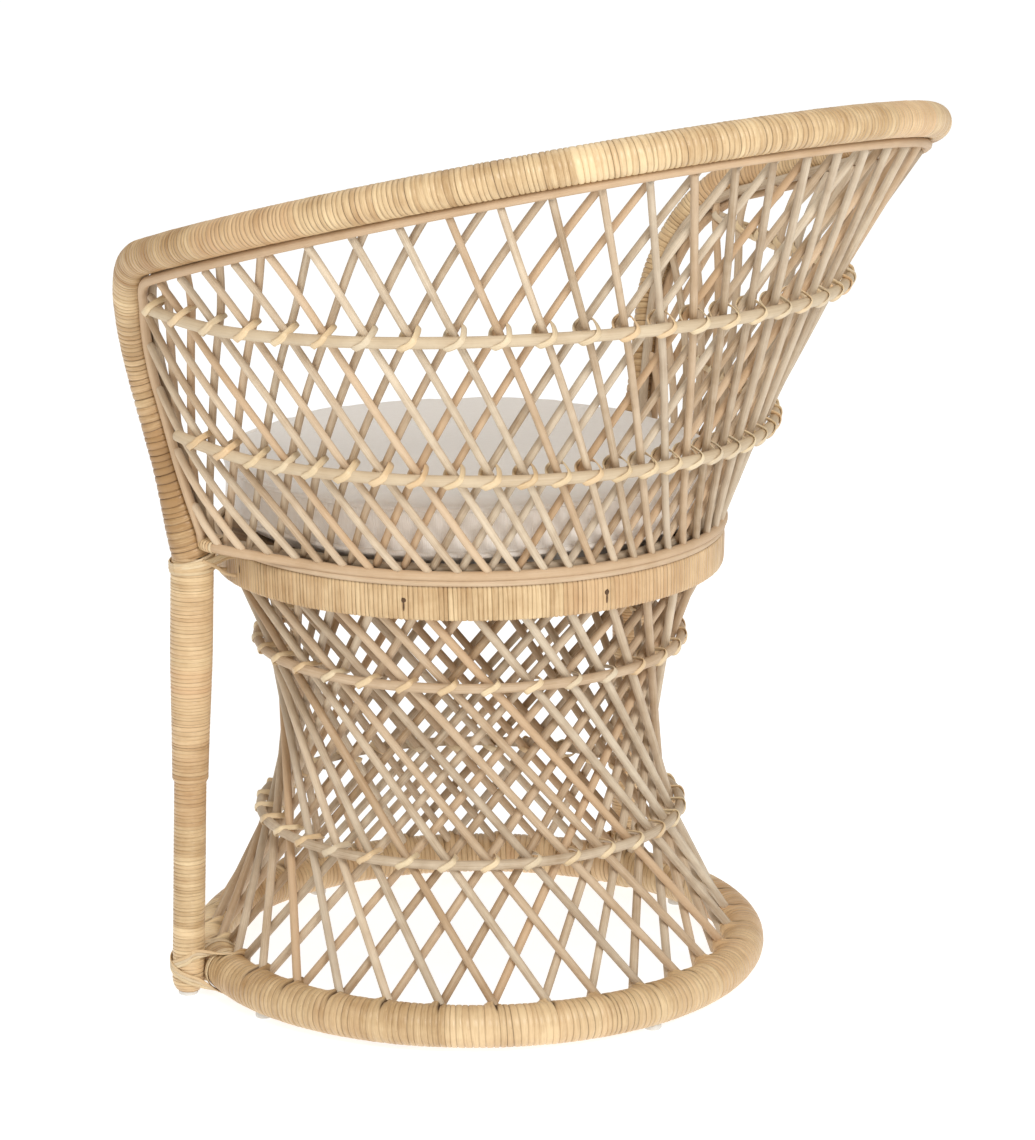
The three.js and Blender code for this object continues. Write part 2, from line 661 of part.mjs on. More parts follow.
// One rod of a layer: a slanting walk over the panel, cut where it meets the edging
function panelRod(start, slant, offset, edging) {
  const spacing = 2 / PANEL_RODS;
  const steps = Math.round((highLevel + RIM_ROWS) / WALK_STEP);
  const runs = [[]];
  for (let i = 0; i <= steps; i += 1) {
    const w = i * WALK_STEP;
    const u = spread(start + slant * spacing / 2 * w);
    let kept = false;
    if (Math.abs(u) < 1 && w < highLevel + rimRows(u)) {
      const out = panelOut(u, w);
      const point = panelPoint(u, w).addScaledVector(out, offset);
      if (nearestOn(edging, point, true).distance > EDGE_REACH && clearOfRail(point)) {
        runs[runs.length - 1].push({ point, out, w });
        kept = true;
      }
    }
    if (!kept && runs[runs.length - 1].length > 0) {
      runs.push([]);
    }
  }
  const run = runs.reduce((longest, other) => (other.length > longest.length ? other : longest));
  if (run.length < SHORTEST_RUN) {
    return null;
  }
  const first = run[0];
  const last = run[run.length - 1];
  const bends = run.filter((station) => BEND_LEVELS.includes(station.w)
    && station.w - first.w > END_SPAN && last.w - station.w > END_SPAN);
  const points = [nearestOn(edging, first.point, true).point];
  points.push(...bends.map((station) => station.point));
  points.push(nearestOn(edging, last.point, true).point);
  const aim = [first, ...bends, last].map((station) => station.out);
  return solid(tube(points, PANEL_ROD_RADIUS, ROD_SIDES, { aim }));
}

function panelLayer(slant, side) {
  const edging = edgingLine(side * EDGING_OFFSET);
  const frame = tube(edging.map((s) => s.point), EDGING_RADIUS, ROD_SIDES, { aim: edging.map((s) => s.out), ring: true });
  const bodies = [solid(frame)];
  for (let i = -SIDE_RODS; i <= PANEL_RODS + SIDE_RODS; i += 1) {
    const rod = panelRod(-1 + 2 * i / PANEL_RODS, slant, side * LAYER_OFFSET, edging);
    if (rod) {
      bodies.push(rod);
    }
  }
  return joined(bodies);
}

piece('back_panel_outer_rods', toGeometry(panelLayer(1, 1)), ROD, 0.6);
piece('back_panel_inner_rods', toGeometry(panelLayer(-1, -1)), ROD, 0.6);

// Hoops tied outside the panel, their ends cut to the posts
const hoopOut = LAYER_OFFSET + PANEL_ROD_RADIUS + BACK_HOOP_RADIUS + HOOP_GAP;
function backHoop(level) {
  const points = [];
  const aim = [];
  for (let i = 0; i <= BACK_HOOP_STEPS; i += 1) {
    const u = HOOP_END * (2 * i / BACK_HOOP_STEPS - 1);
    const out = panelOut(u, PANEL_LEVELS[level]);
    points.push(panelPoint(u, PANEL_LEVELS[level]).addScaledVector(out, hoopOut));
    aim.push(out.negate());
  }
  return toGeometry(solid(tube(points, BACK_HOOP_RADIUS, HOOP_SIDES, { aim })).subtract(railRoom));
}
piece('back_hoop_lower', backHoop(1), PALE_ROD, 0.6);
piece('back_hoop_upper', backHoop(2), PALE_ROD, 0.6);

// Legs stand outside the base ring, cut a little to sit against it, and carry the posts
const legFootRadius = BASE_RING_OUTER + LEG_TUBE - LEG_SET_IN;
const legFoot = vec(legFootRadius * Math.sin(LEG_ANGLE), -legFootRadius * Math.cos(LEG_ANGLE), BASE_RING_HEIGHT);
const legTop = postFoot.clone();
function legPoint(height) {
  return legFoot.clone().lerp(legTop, (height - legFoot.z) / (legTop.z - legFoot.z));
}

function onSide(side, points) {
  return side === 'left' ? points : points.map(mirrored);
}

// Lashing: one strand laid as a cross over the outside of the leg, the second pass lifted over the first
function lashingLine(middle, wrapped) {
  const under = (wrapped + FIT + LASHING_TUBE) / Math.cos(LASHING_WRAP / LASHING_STEPS);
  const over = under + 2 * LASHING_TUBE + LASHING_GAP;
  const outside = Math.atan2(legFoot.y, legFoot.x);
  const points = [];
  for (const [radius, turn] of [[under, 1], [over, -1]]) {
    for (let i = 0; i <= LASHING_STEPS; i += 1) {
      const share = 2 * i / LASHING_STEPS - 1;
      const angle = outside + turn * share * LASHING_WRAP;
      const centre = legPoint(middle - share * LASHING_HALF_HEIGHT);
      points.push(centre.add(vec(radius * Math.cos(angle), radius * Math.sin(angle), 0)));
    }
  }
  return points;
}

// Least room between parts of a strand that are not neighbours along it
function leastGap(points, tubeRadius) {
  const lengths = [0];
  points.forEach((point, i) => {
    lengths.push(lengths[i] + point.distanceTo(points[(i + 1) % points.length]));
  });
  const whole = lengths[points.length];
  let least = Infinity;
  for (let i = 0; i < points.length; i += 1) {
    for (let j = 0; j < i; j += 1) {
      const apart = lengths[i] - lengths[j];
      if (Math.min(apart, whole - apart) > NEIGHBOUR_TUBES * tubeRadius) {
        least = Math.min(least, points[i].distanceTo(points[j]) - 2 * tubeRadius);
      }
    }
  }
  return least;
}

for (const side of ['left', 'right']) {
  const stations = [
    [LEG_GLIDE_HEIGHT + FIT, LEG_TUBE],
    [LEG_STEP_HEIGHT, LEG_TUBE],
    [LEG_STEP_HEIGHT + LEG_STEP_LENGTH, LEG_TOP_TUBE],
    [legTop.z - LEG_STEP_LENGTH, LEG_TOP_TUBE],
    [legTop.z, POST_FOOT_TUBE],
  ];
  const points = onSide(side, stations.map(([height]) => legPoint(height)));
  const pole = tube(points, stations.map(([, r]) => r), LEG_SIDES, { upright: true });
  piece(`leg_${side}`, toGeometry(solid(pole).subtract(railRoom).subtract(baseRingRoom)), CANE, 0.5);
  const foot = onSide(side, [legPoint(0), legPoint(0).setZ(LEG_GLIDE_HEIGHT)]);
  piece(`glide_leg_${side}`, tube(foot, LEG_GLIDE_RADIUS, GLIDE_SIDES, { upright: true }), PLASTIC, 0.5);
  for (const [name, middle, wrapped] of [
    ['foot_lashing', FOOT_LASHING_HEIGHT, LEG_TUBE],
    ['seat_lashing', SEAT_LASHING_HEIGHT, LEG_TOP_TUBE],
  ]) {
    const line = onSide(side, lashingLine(middle, wrapped));
    const strand = tube(line, LASHING_TUBE, LASHING_SIDES, { aim: line.map(() => UP), ring: true });
    piece(`${name}_${side}`, strand, CANE, 0.5);
    console.log(`${name}_${side} least gap ${leastGap(line, LASHING_TUBE).toFixed(2)} mm`);
  }
}

RING_GLIDE_NAMES.forEach((name, i) => {
  const turn = Math.PI / 2 + i * Math.PI / 2;
  const centre = vec(BASE_RING_RADIUS * Math.cos(turn), BASE_RING_RADIUS * Math.sin(turn), 0);
  const blank = tube([centre, centre.clone().setZ(RING_GLIDE_BLANK)], RING_GLIDE_RADIUS, GLIDE_SIDES, { upright: true });
  piece(`glide_ring_${name}`, toGeometry(solid(blank).subtract(baseRingRoom)), PLASTIC, 0.5);
});

// The frame starts on the floor under the middle of the whole chair
const box = new THREE.Box3().setFromObject(group);
const middle = box.getCenter(new THREE.Vector3());
for (const mesh of group.children) {
  mesh.geometry.translate(-middle.x, -middle.y, -box.min.z);
}

export default group;
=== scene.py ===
# Looks of a rattan tub chair with an hourglass base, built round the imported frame.
# Sizes are millimetres in the chair's own axes, with the base ring's axis at y = 0.
# They become metres in the frame when a piece is made.
import math

import bpy
import numpy as np
from mathutils import Matrix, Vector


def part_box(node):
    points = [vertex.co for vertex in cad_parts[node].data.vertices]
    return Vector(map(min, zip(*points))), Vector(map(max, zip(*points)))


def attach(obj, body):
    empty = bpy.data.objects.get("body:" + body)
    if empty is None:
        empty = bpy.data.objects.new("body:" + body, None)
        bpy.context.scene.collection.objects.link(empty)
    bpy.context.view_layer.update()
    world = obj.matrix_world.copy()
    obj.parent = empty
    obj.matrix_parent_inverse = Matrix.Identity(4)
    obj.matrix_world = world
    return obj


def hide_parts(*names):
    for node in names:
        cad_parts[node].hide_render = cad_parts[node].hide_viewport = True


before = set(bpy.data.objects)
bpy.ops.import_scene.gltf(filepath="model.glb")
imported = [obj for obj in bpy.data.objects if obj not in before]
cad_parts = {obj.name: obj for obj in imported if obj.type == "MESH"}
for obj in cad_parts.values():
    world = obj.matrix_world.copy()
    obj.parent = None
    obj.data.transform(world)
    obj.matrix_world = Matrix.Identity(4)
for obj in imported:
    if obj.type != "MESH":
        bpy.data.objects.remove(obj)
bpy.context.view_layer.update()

MM = 0.001
SEED = 11
TURN = 2 * math.pi
ASIDE, OUT, UP = np.eye(3)
MIRROR = (-1.0, 1.0, 1.0)

# The base ring's axis in the frame
ring_low, ring_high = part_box("base_ring_outer_rods")
AXIS = OUT * (ring_low.y + ring_high.y) / 2 / MM

# Camera, fitted to the photograph's frame
PHOTO_WIDTH, PHOTO_HEIGHT = 1035, 1140
FOCAL_PIXELS, SENSOR = 4331.1, 36.0
CAMERA_DISTANCE, CAMERA_HEIGHT = 3600.0, 1263.6
CAMERA_TURN = math.radians(141.0)
CAMERA_PITCH, CAMERA_YAW, CAMERA_ROLL = 0.24834, -0.00992, -0.00264

# Base ring and hourglass
BASE_RING_RADIUS, BASE_RING_TUBE, BASE_RING_HEIGHT = 232.3, 17.7, 21.7
SEAT_CENTRE = np.array((0.0, -9.0, 0.0))
BASE_RODS, BASE_ROD_RADIUS = 32, 3.65
OUTER_WAIST, INNER_WAIST = 160.8, 152.8
OUTER_FOOT, OUTER_HEAD = 24.7, 368.0
INNER_FOOT, INNER_HEAD = 27.7, 376.0
SEAT_POLE_RADIUS, OUTER_HEAD_RADIUS = 202.0, 206.4
WAIST_HOOP_TUBE, CROSSINGS_TO_HOOP = 4.2, 4
FIT = 0.3

# Seat
SEAT_BAND_OUTER = 218.0
DECK_RADIUS, DECK_LOW = 209.3, 389.3

# Rail
RIM_HALF_WIDTH, RIM_HALF_DEPTH = 335.2, 342.8
RIM_CENTRE_Y, RIM_HEIGHT, RIM_RISE = 62.0, 662.8, 0.281
RIM_END_ANGLE, RIM_CORNER_ANGLE = 1.809, 2.07
RIM_TUBE, POST_TUBE, POST_FOOT_TUBE = 14.4, 12.7, 17.2
CORNER_PULL, POST_SWELL, POST_FACE_TURN = 49.0, 85.0, -0.3
POST_TOP = np.array((275.8, -89.7, 535.0))
POST_FOOT = np.array((243.8, -74.3, 390.0))

# Legs
LEG_TUBE, LEG_TOP_TUBE = 13.8, 18.2
LEG_FOOT_REACH, LEG_ANGLE = 262.6, math.radians(70.5)
LEG_STEP_HEIGHT, LEG_LOW = 191.0, 4.6
FOOT_LASHING_HEIGHT, SEAT_LASHING_HEIGHT = 27.0, 382.0

# Back panel
PANEL_RODS, SIDE_RODS, SPREAD = 34, 6, 0.016
PANEL_ROD_RADIUS, EDGING_RADIUS = 3.3, 4.1
LAYER_OFFSET, EDGING_OUT = 3.8, 2.0
PANEL_LOW_RADIUS, PANEL_LOW_HEIGHT = 212.0, 400.7
HOOP_ROWS, RIM_ROWS = 4.0, 3.5
HIGH_ROW = 2 * HOOP_ROWS
BACK_HOOP_TUBE, HOOP_OUT, TIE_END = 4.8, 12.5, 0.92
HOOP_LIFT, LIFT_START = 0.4, 0.74
AIM_LIMIT, SEEK_STEPS = 0.95, 6


# Plain vector helpers
def vec(*values):
    return np.array(values, float)


def unit(v):
    return v / np.linalg.norm(v, axis=-1, keepdims=True)


def square_to(v, along):
    return unit(v - np.sum(v * along, axis=-1, keepdims=True) * along)


def smooth(t):
    t = np.clip(t, 0.0, 1.0)
    return t * t * (3 - 2 * t)


def hat(offset, reach):
    """1 at no offset, falling smoothly to 0 at the reach."""
    return smooth(1 - np.abs(offset) / reach)


def bell(offset, width):
    return np.exp(-((offset / width) ** 2))


def stream(number):
    return np.random.default_rng(SEED + number)


def full_turn(count):
    return TURN * np.arange(count) / count


def fan(turn, a, b):
    """Directions at each turn from a towards b."""
    return np.cos(turn)[..., None] * a + np.sin(turn)[..., None] * b


def heading(turn):
    return vec(math.cos(turn), math.sin(turn), 0)


def circle_points(radius, height, centre, count=180):
    return centre + radius * fan(full_turn(count), ASIDE, OUT) + height * UP


def tangents(points, closed):
    if closed:
        return unit(np.roll(points, -1, 0) - np.roll(points, 1, 0))
    return unit(np.gradient(points, axis=0))


def run_of(points):
    return np.concatenate(((0.0,), np.cumsum(np.linalg.norm(np.diff(points, axis=0), axis=1))))


def curve(knots, count, closed=True):
    """Smooth line through a few knots, sampled evenly in its own measure."""
    knots = np.asarray(knots, float)
    last = len(knots) - 1
    place = np.arange(count) * len(knots) / count if closed else np.linspace(0, last - 1e-6, count)
    start = np.floor(place).astype(int)
    t = (place - start)[:, None]
    near = [(start + k) % len(knots) if closed else np.clip(start + k, 0, last) for k in (-1, 0, 1, 2)]
    a, b, c, d = (knots[at] for at in near)
    return 0.5 * (2 * b + (c - a) * t + (2 * a - 5 * b + 4 * c - d) * t**2 + (3 * b - a - 3 * c + d) * t**3)


def placed(name, data):
    obj = bpy.data.objects.new(name, data)
    bpy.context.scene.collection.objects.link(obj)
    return obj


class Pile:
    """Points, faces and per-point notes of one piece, gathered before it becomes a mesh.
    fibre holds millimetres along and across the grain and a number per strip.
    shade holds tone, warmth, and the darkness of gaps together with painted shade."""

    def __init__(self):
        self.points, self.quads, self.caps, self.fibre, self.shade = [], [], [], [], []
        self.size = 0

    def add(self, points, quads, fibre, shade, caps=()):
        self.points.append(points.reshape(-1, 3))
        self.quads.append(quads + self.size)
        self.caps += [cap + self.size for cap in caps]
        self.fibre.append(fibre.reshape(-1, 3))
        self.shade.append(shade.reshape(-1, 3))
        self.size += len(self.points[-1])

    def piece(self, name, material, slot, *replaces, body="chair"):
        mesh = bpy.data.meshes.new(name)
        world = (np.concatenate(self.points) + AXIS) * MM
        quads = np.concatenate(self.quads)
        corners = np.concatenate([quads.ravel(), *self.caps])
        sizes = np.concatenate((np.full(len(quads), 4), [len(cap) for cap in self.caps])).astype(int)
        mesh.vertices.add(len(world))
        mesh.vertices.foreach_set("co", world.ravel())
        mesh.loops.add(len(corners))
        mesh.loops.foreach_set("vertex_index", corners.astype(np.int32))
        mesh.polygons.add(len(sizes))
        starts = np.concatenate(((0,), np.cumsum(sizes)[:-1]))
        mesh.polygons.foreach_set("loop_start", starts.astype(np.int32))
        mesh.polygons.foreach_set("use_smooth", np.ones(len(sizes), bool))
        mesh.update(calc_edges=True)
        for note in ("fibre", "shade"):
            layer = mesh.attributes.new(note, "FLOAT_VECTOR", "POINT")
            layer.data.foreach_set("vector", np.concatenate(getattr(self, note)).astype(np.float32).ravel())
        obj = placed(name, mesh)
        mesh.materials.append(material)
        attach(obj, body)
        if replaces:
            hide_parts(*replaces)
        return obj


def grid_quads(rows, columns, closed):
    row = np.arange(rows if closed else rows - 1)[:, None]
    column = np.arange(columns)[None]
    after, beside = (row + 1) % rows, (column + 1) % columns
    quads = np.stack((row * columns + column, row * columns + beside,
                      after * columns + beside, after * columns + column), -1)
    return quads.reshape(-1, 4)


def end_caps(rows, sides):
    return np.arange(sides)[::-1], (rows - 1) * sides + np.arange(sides)


def swept(pile, grid, run, across, mark, closed):
    """Rings of points along a line, with grain along it; mark is (tone, warmth, number)."""
    rows, sides = grid.shape[:2]
    fibre = np.stack(np.broadcast_arrays(run[:, None], across, mark[2]), -1)
    shade = np.broadcast_to((mark[0], mark[1], 0.0), grid.shape)
    pile.add(grid, grid_quads(rows, sides, closed), fibre, shade, () if closed else end_caps(rows, sides))


def revolved(pile, centre, profile, sides):
    grid = np.array([circle_points(radius, height, centre, sides) for radius, height in profile])
    plain = np.zeros(grid.shape)
    pile.add(grid, grid_quads(len(grid), sides, False), plain, plain, end_caps(len(grid), sides))


# Rounded ends of a rod: reach beyond the end and share of the radius, from the tip inwards
DOME = ((0.372, 0.55), (0.18, 0.88))


def with_ends(values):
    return np.concatenate((values[[0, 0]], values, values[[-1, -1]]))


def tube(pile, points, radius, sides, aim, mark, closed=False):
    """Round rod along points with softly rounded ends."""
    radius = np.broadcast_to(np.asarray(radius, float), len(points)).copy()
    aim = np.broadcast_to(aim, points.shape)
    along = tangents(points, closed)
    if not closed:
        head = [points[0] - along[0] * radius[0] * reach for reach, _ in DOME]
        tail = [points[-1] + along[-1] * radius[-1] * reach for reach, _ in DOME[::-1]]
        low = [radius[0] * share for _, share in DOME]
        high = [radius[-1] * share for _, share in DOME[::-1]]
        points, radius = np.concatenate((head, points, tail)), np.concatenate((low, radius, high))
        aim, along = with_ends(aim), with_ends(along)
    side = square_to(aim, along)
    turn = full_turn(sides)
    spokes = fan(turn, side[:, None], np.cross(along, side)[:, None])
    grid = points[:, None] + radius[:, None, None] * spokes
    swept(pile, grid, run_of(points), np.abs(turn - math.pi) * radius.mean(), mark, closed)


# Section of a split cane: share of its width and of its thickness
STRIP_ACROSS = np.array((-0.5, -0.46, -0.2, 0.2, 0.46, 0.5, 0.0))
STRIP_LIFT = np.array((0.0, 0.75, 1.05, 1.05, 0.75, 0.0, -0.15))


def strip(pile, points, facing, width, thickness, mark, closed=True):
    """Flat split cane along points, its rounded face turned to facing."""
    along = tangents(points, closed)
    lift = square_to(facing, along)
    across = np.cross(lift, along)
    grid = (points[:, None] + STRIP_ACROSS[:, None] * width * across[:, None]
            + STRIP_LIFT[:, None] * thickness * lift[:, None])
    swept(pile, grid, run_of(points), STRIP_ACROSS * width, mark, closed)


class Line:
    """Middle line of a pole, with two directions across it and its length at each point."""

    def __init__(self, points, aim, closed=False):
        along = tangents(points, closed)
        side = square_to(np.broadcast_to(aim, points.shape), along)
        across = np.cross(along, side)
        if closed:
            points, side, across = (np.concatenate((a, a[:1])) for a in (points, side, across))
        self.points, self.side, self.across, self.run = points, side, across, run_of(points)
        self.length = self.run[-1]

    def at(self, values, s):
        return np.stack([np.interp(s, self.run, values[:, c]) for c in range(3)], -1)

    def place(self, s, theta, reach):
        spoke = fan(theta, self.at(self.side, s), self.at(self.across, s))
        return self.at(self.points, s) + np.asarray(reach)[..., None] * spoke


# A strip of wrapping cane across its width: share of the width, rise in crowns (groove below zero), gap
STRIP_SHARES = np.array((0.0, 0.06, 0.18, 0.5, 0.82, 0.94))
STRIP_RISES = np.array((-1.0, -0.1, 0.75, 1.0, 0.75, -0.1))
STRIP_GAPS = np.array((1.0, 0.25, 0.0, 0.0, 0.0, 0.25))
STRIP_GRAIN, STRIP_NUMBER = 5.0, 0.37
# A strip's edge strays from its even course by a few waves, as turns per turn of the wrap and start
STRAY = 0.15
STRAY_WAVES = ((0.37, 0.2), (0.83, 1.1), (1.29, 2.7))
# How turns of a wrap differ: width, groove, crown and tilt, then how dark their gaps are
WIDTH_RANGE, GROOVE_RANGE, CROWN_RANGE, TILT_SPREAD = (0.75, 1.25), (0.35, 1.6), (0.7, 1.3), 0.45
DARK_SPREAD, DARK_LIMITS = (1.6, 0.7), (0.04, 1.0)
# Turns cut from one bundle share a tone
BUNDLE_TURNS = (7, 34)
BUNDLE_TONE, BUNDLE_WARMTH, TURN_TONE, TURN_WARMTH = 0.13, 0.25, 0.11, 0.1


def strip_marks(length, width, rng):
    """Lengths at which each turn of a wrap begins; width is the strip's usual width at a length."""
    marks = [0.0]
    while marks[-1] < length:
        marks.append(marks[-1] + width(marks[-1]) * rng.uniform(*WIDTH_RANGE))
    return np.array(marks) * length / marks[-1]


def cane_tones(count, rng, usual_tone, usual_warmth):
    tone, warm = np.empty(count), np.empty(count)
    start = 0
    while start < count:
        stop = start + rng.integers(*BUNDLE_TURNS)
        tone[start:stop] = rng.normal(usual_tone, BUNDLE_TONE)
        warm[start:stop] = np.clip(rng.normal(usual_warmth, BUNDLE_WARMTH), 0, 1)
        start = stop
    tone += rng.normal(0, TURN_TONE, count)
    return tone, np.clip(warm + rng.normal(0, TURN_WARMTH, count), 0, 1)


def stray(strand, turns, closed):
    total = np.zeros_like(strand)
    for waves, start in STRAY_WAVES:
        rate = round(waves * turns) / turns if closed else waves
        total += np.sin(TURN * rate * strand + start)
    return total / len(STRAY_WAVES)


def wound(pile, place, marks, sides, rng, look, around, closed=False, extra=None):
    """Helical wrap of split cane. place(s, theta, height) gives a point over the wrapped surface.
    marks are the lengths where turns begin. look is crown, groove, tone, warmth and darkness of gaps.
    around is the length of a turn. extra(s, theta) gives further height, gap darkness and painted shade, and
    tone."""
    crown, groove, usual_tone, usual_warmth, darkness = look
    turns, rows = len(marks) - 1, len(STRIP_SHARES)
    first, count = (0, turns) if closed else (-1, turns + 2)
    k = first + np.repeat(np.arange(count), rows)[:, None]
    f = np.tile(STRIP_SHARES, count)[:, None]
    rise = np.tile(STRIP_RISES, count)[:, None]
    theta = full_turn(sides)[None]
    strand = k + theta / TURN
    q = strand + f
    q = q + STRAY * ((1 - f) * stray(strand, turns, closed) + f * stray(strand + 1, turns, closed))
    if closed:
        q, strand = q % turns, strand % turns
    ladder = np.arange(turns + 1)
    s = np.interp(q, ladder, marks)
    tone, warm = cane_tones(turns + 1, rng, usual_tone, usual_warmth)
    deep = groove * rng.uniform(*GROOVE_RANGE, turns + 1)
    high = crown * rng.uniform(*CROWN_RANGE, turns + 1)
    tilt = crown * rng.normal(0, TILT_SPREAD, turns + 1)
    dark = np.clip(darkness * rng.gamma(*DARK_SPREAD, turns + 1), *DARK_LIMITS)
    strips = np.array((tone, warm, deep, high, tilt, dark))
    if closed:
        strips[:, -1] = strips[:, 0]
    tone, warm, deep, high, tilt, dark = (np.interp(strand, ladder, values) for values in strips)
    height = np.where(rise > 0, high * rise, deep * rise) + tilt * (f - 0.5)
    gap_and_shade = np.tile(STRIP_GAPS, count)[:, None] * dark
    theta = np.broadcast_to(theta, s.shape)
    if extra is not None:
        more_height, more_gap_and_shade, more_tone = extra(s, theta)
        height, gap_and_shade, tone = height + more_height, np.clip(gap_and_shade + more_gap_and_shade, 0, 1), tone + more_tone
    grid = place(s, theta, height)
    fibre = np.stack((strand * around, (f - 0.5) * STRIP_GRAIN + 0 * strand, np.floor(q) * STRIP_NUMBER), -1)
    total = count * rows
    row, column = np.arange(total)[:, None], np.arange(sides)[None]
    shift = np.where(column == sides - 1, rows, 0)
    beside = (column + 1) % sides
    quads = np.stack((row * sides + column, (row + shift) % total * sides + beside,
                      (row + shift + 1) % total * sides + beside, (row + 1) % total * sides + column), -1)
    if not closed:
        lengths = s.ravel()[quads]
        inside = (row + shift + 1 < total) & (row + 1 < total)
        quads = quads[inside & (np.ptp(lengths, axis=-1) > 1e-6)]
    pile.add(grid, quads.reshape(-1, 4), fibre, np.stack((tone, warm, gap_and_shade), -1))


CUT_END = (0.4, 0.4, 0.0)


def end_disc(pile, line, s, radius, sides, outward):
    """Cut end of a wrapped pole."""
    points = line.place(np.full(sides, s), full_turn(sides), np.full(sides, radius))
    order = np.arange(sides)[::outward]
    pile.add(points, np.empty((0, 4), int), np.zeros((sides, 3)), np.full((sides, 3), CUT_END), (order,))


# Hourglass: lean of the two layers and the waist's height
foot_travel = math.sqrt(BASE_RING_RADIUS**2 - OUTER_WAIST**2)
head_travel = math.sqrt(OUTER_HEAD_RADIUS**2 - OUTER_WAIST**2)
OUTER_LEAN = (foot_travel + head_travel) / (OUTER_HEAD - OUTER_FOOT)
WAIST_HEIGHT = OUTER_FOOT + foot_travel / OUTER_LEAN
INNER_LEAN = math.sqrt(SEAT_POLE_RADIUS**2 - INNER_WAIST**2) / (INNER_HEAD - WAIST_HEIGHT)
OUTER_LAYER = (OUTER_WAIST, OUTER_LEAN, -1.0)
INNER_LAYER = (INNER_WAIST, INNER_LEAN, 1.0)


def base_rod_points(layer, angle, heights):
    waist, lean, turn = layer
    travel = turn * lean * (heights - WAIST_HEIGHT)
    c, s = math.cos(angle), math.sin(angle)
    return SEAT_CENTRE + np.stack((waist * c - travel * s, waist * s + travel * c, heights), -1)


def hoop_offset():
    """Height above and below the waist at which the two layers cross on the hoops."""
    p, q = OUTER_LEAN / OUTER_WAIST, INNER_LEAN / INNER_WAIST
    t = math.tan(CROSSINGS_TO_HOOP * TURN / BASE_RODS)
    return (math.sqrt((p + q) ** 2 + 4 * p * q * t * t) - p - q) / (2 * p * q * t)


HOOP_RISE = hoop_offset()
hoop_waist = math.hypot(OUTER_WAIST, OUTER_LEAN * HOOP_RISE)
hoop_slope = OUTER_LEAN**2 * HOOP_RISE / hoop_waist
WAIST_HOOP_RADIUS = hoop_waist + (BASE_ROD_RADIUS + WAIST_HOOP_TUBE + FIT) * math.hypot(1, hoop_slope)


# Rail line
def rim_point(angle):
    angle = np.asarray(angle, float)
    y = RIM_CENTRE_Y + RIM_HALF_DEPTH * np.cos(angle)
    return np.stack((RIM_HALF_WIDTH * np.sin(angle), y, RIM_HEIGHT + RIM_RISE * y), -1)


def rim_tangent(angle):
    return unit(rim_point(np.asarray(angle) + 0.001) - rim_point(np.asarray(angle) - 0.001))


POST_LINE = unit(POST_TOP - POST_FOOT)
POST_INWARD = square_to(vec(math.sin(POST_FACE_TURN), math.cos(POST_FACE_TURN), 0), POST_LINE)


def post_tube(height):
    return POST_TUBE + (POST_FOOT_TUBE - POST_TUBE) * smooth(1 - (height - POST_FOOT[2]) / POST_SWELL)


def edge_reach(rail_tube):
    return np.sqrt((rail_tube + EDGING_RADIUS + FIT) ** 2 - LAYER_OFFSET**2)


# Panel surface: u runs -1 to 1 from post to post, w counts rows of crossings up from the seat.
# Rings at the seat and the hoops: half width, half depth, middle y, height, rise, where the draw to the
# post starts
PANEL_RINGS = (
    (PANEL_LOW_RADIUS, PANEL_LOW_RADIUS, SEAT_CENTRE[1], PANEL_LOW_HEIGHT, 0.0, 0.75),
    (248.0, 246.0, -6.0, 494.5, -0.01, 0.7),
    (284.0, 272.0, 36.0, 605.5, 0.053, 0.6),
)


def ring_point(ring, angle):
    half_width, half_depth, centre_y, height, rise, _ = ring
    y = centre_y + half_depth * np.cos(angle)
    return np.stack((half_width * np.sin(angle), y, height + rise * y), -1)


def drawn_ring(ring):
    height = ring[3]
    post = POST_FOOT + POST_LINE * (height - POST_FOOT[2]) / POST_LINE[2]
    edge = post + POST_INWARD * edge_reach(post_tube(height))
    end = math.atan2(edge[0] / ring[0], (edge[1] - ring[2]) / ring[1])
    return ring, end, edge - ring_point(ring, end)


DRAWN_RINGS = [drawn_ring(ring) for ring in PANEL_RINGS]


def level_point(level, u):
    ring, end, draw = DRAWN_RINGS[level]
    u = np.asarray(u, float)
    share = smooth((np.abs(u) - ring[5]) / (1 - ring[5]))[..., None]
    return ring_point(ring, u * end) + share * draw * np.where(u[..., None] < 0, MIRROR, 1.0)


def rim_inward(angle):
    angle = np.asarray(angle, float)
    u = np.sign(angle) * np.minimum(np.abs(angle) / RIM_CORNER_ANGLE, AIM_LIMIT)
    return square_to(level_point(2, u) - rim_point(angle), rim_tangent(angle))


def top_edge(angle):
    return rim_point(angle) + rim_inward(angle) * edge_reach(RIM_TUBE)


def rim_climb(u):
    return top_edge(np.asarray(u) * RIM_CORNER_ANGLE)[..., 2] - level_point(2, u)[..., 2]


BACK_CLIMB = float(rim_climb(0.0))


def rim_rows(u):
    return RIM_ROWS * rim_climb(u) / BACK_CLIMB


def panel_point(u, w):
    u, w = np.broadcast_arrays(np.asarray(u, float), np.asarray(w, float))
    low, middle, high = (level_point(level, u) for level in range(3))
    step = (w / HOOP_ROWS)[..., None]
    below = low * (step - 1) * (step - 2) / 2 + middle * step * (2 - step) + high * step * (step - 1) / 2
    leave = (3 * high - 4 * middle + low) / (2 * HOOP_ROWS)
    rows = rim_rows(u)[..., None]
    share = (w[..., None] - HIGH_ROW) / rows
    rise = top_edge(u * RIM_CORNER_ANGLE) - high - leave * rows
    above = high + leave * rows * share + rise * share**2
    return np.where(w[..., None] > HIGH_ROW, above, below)


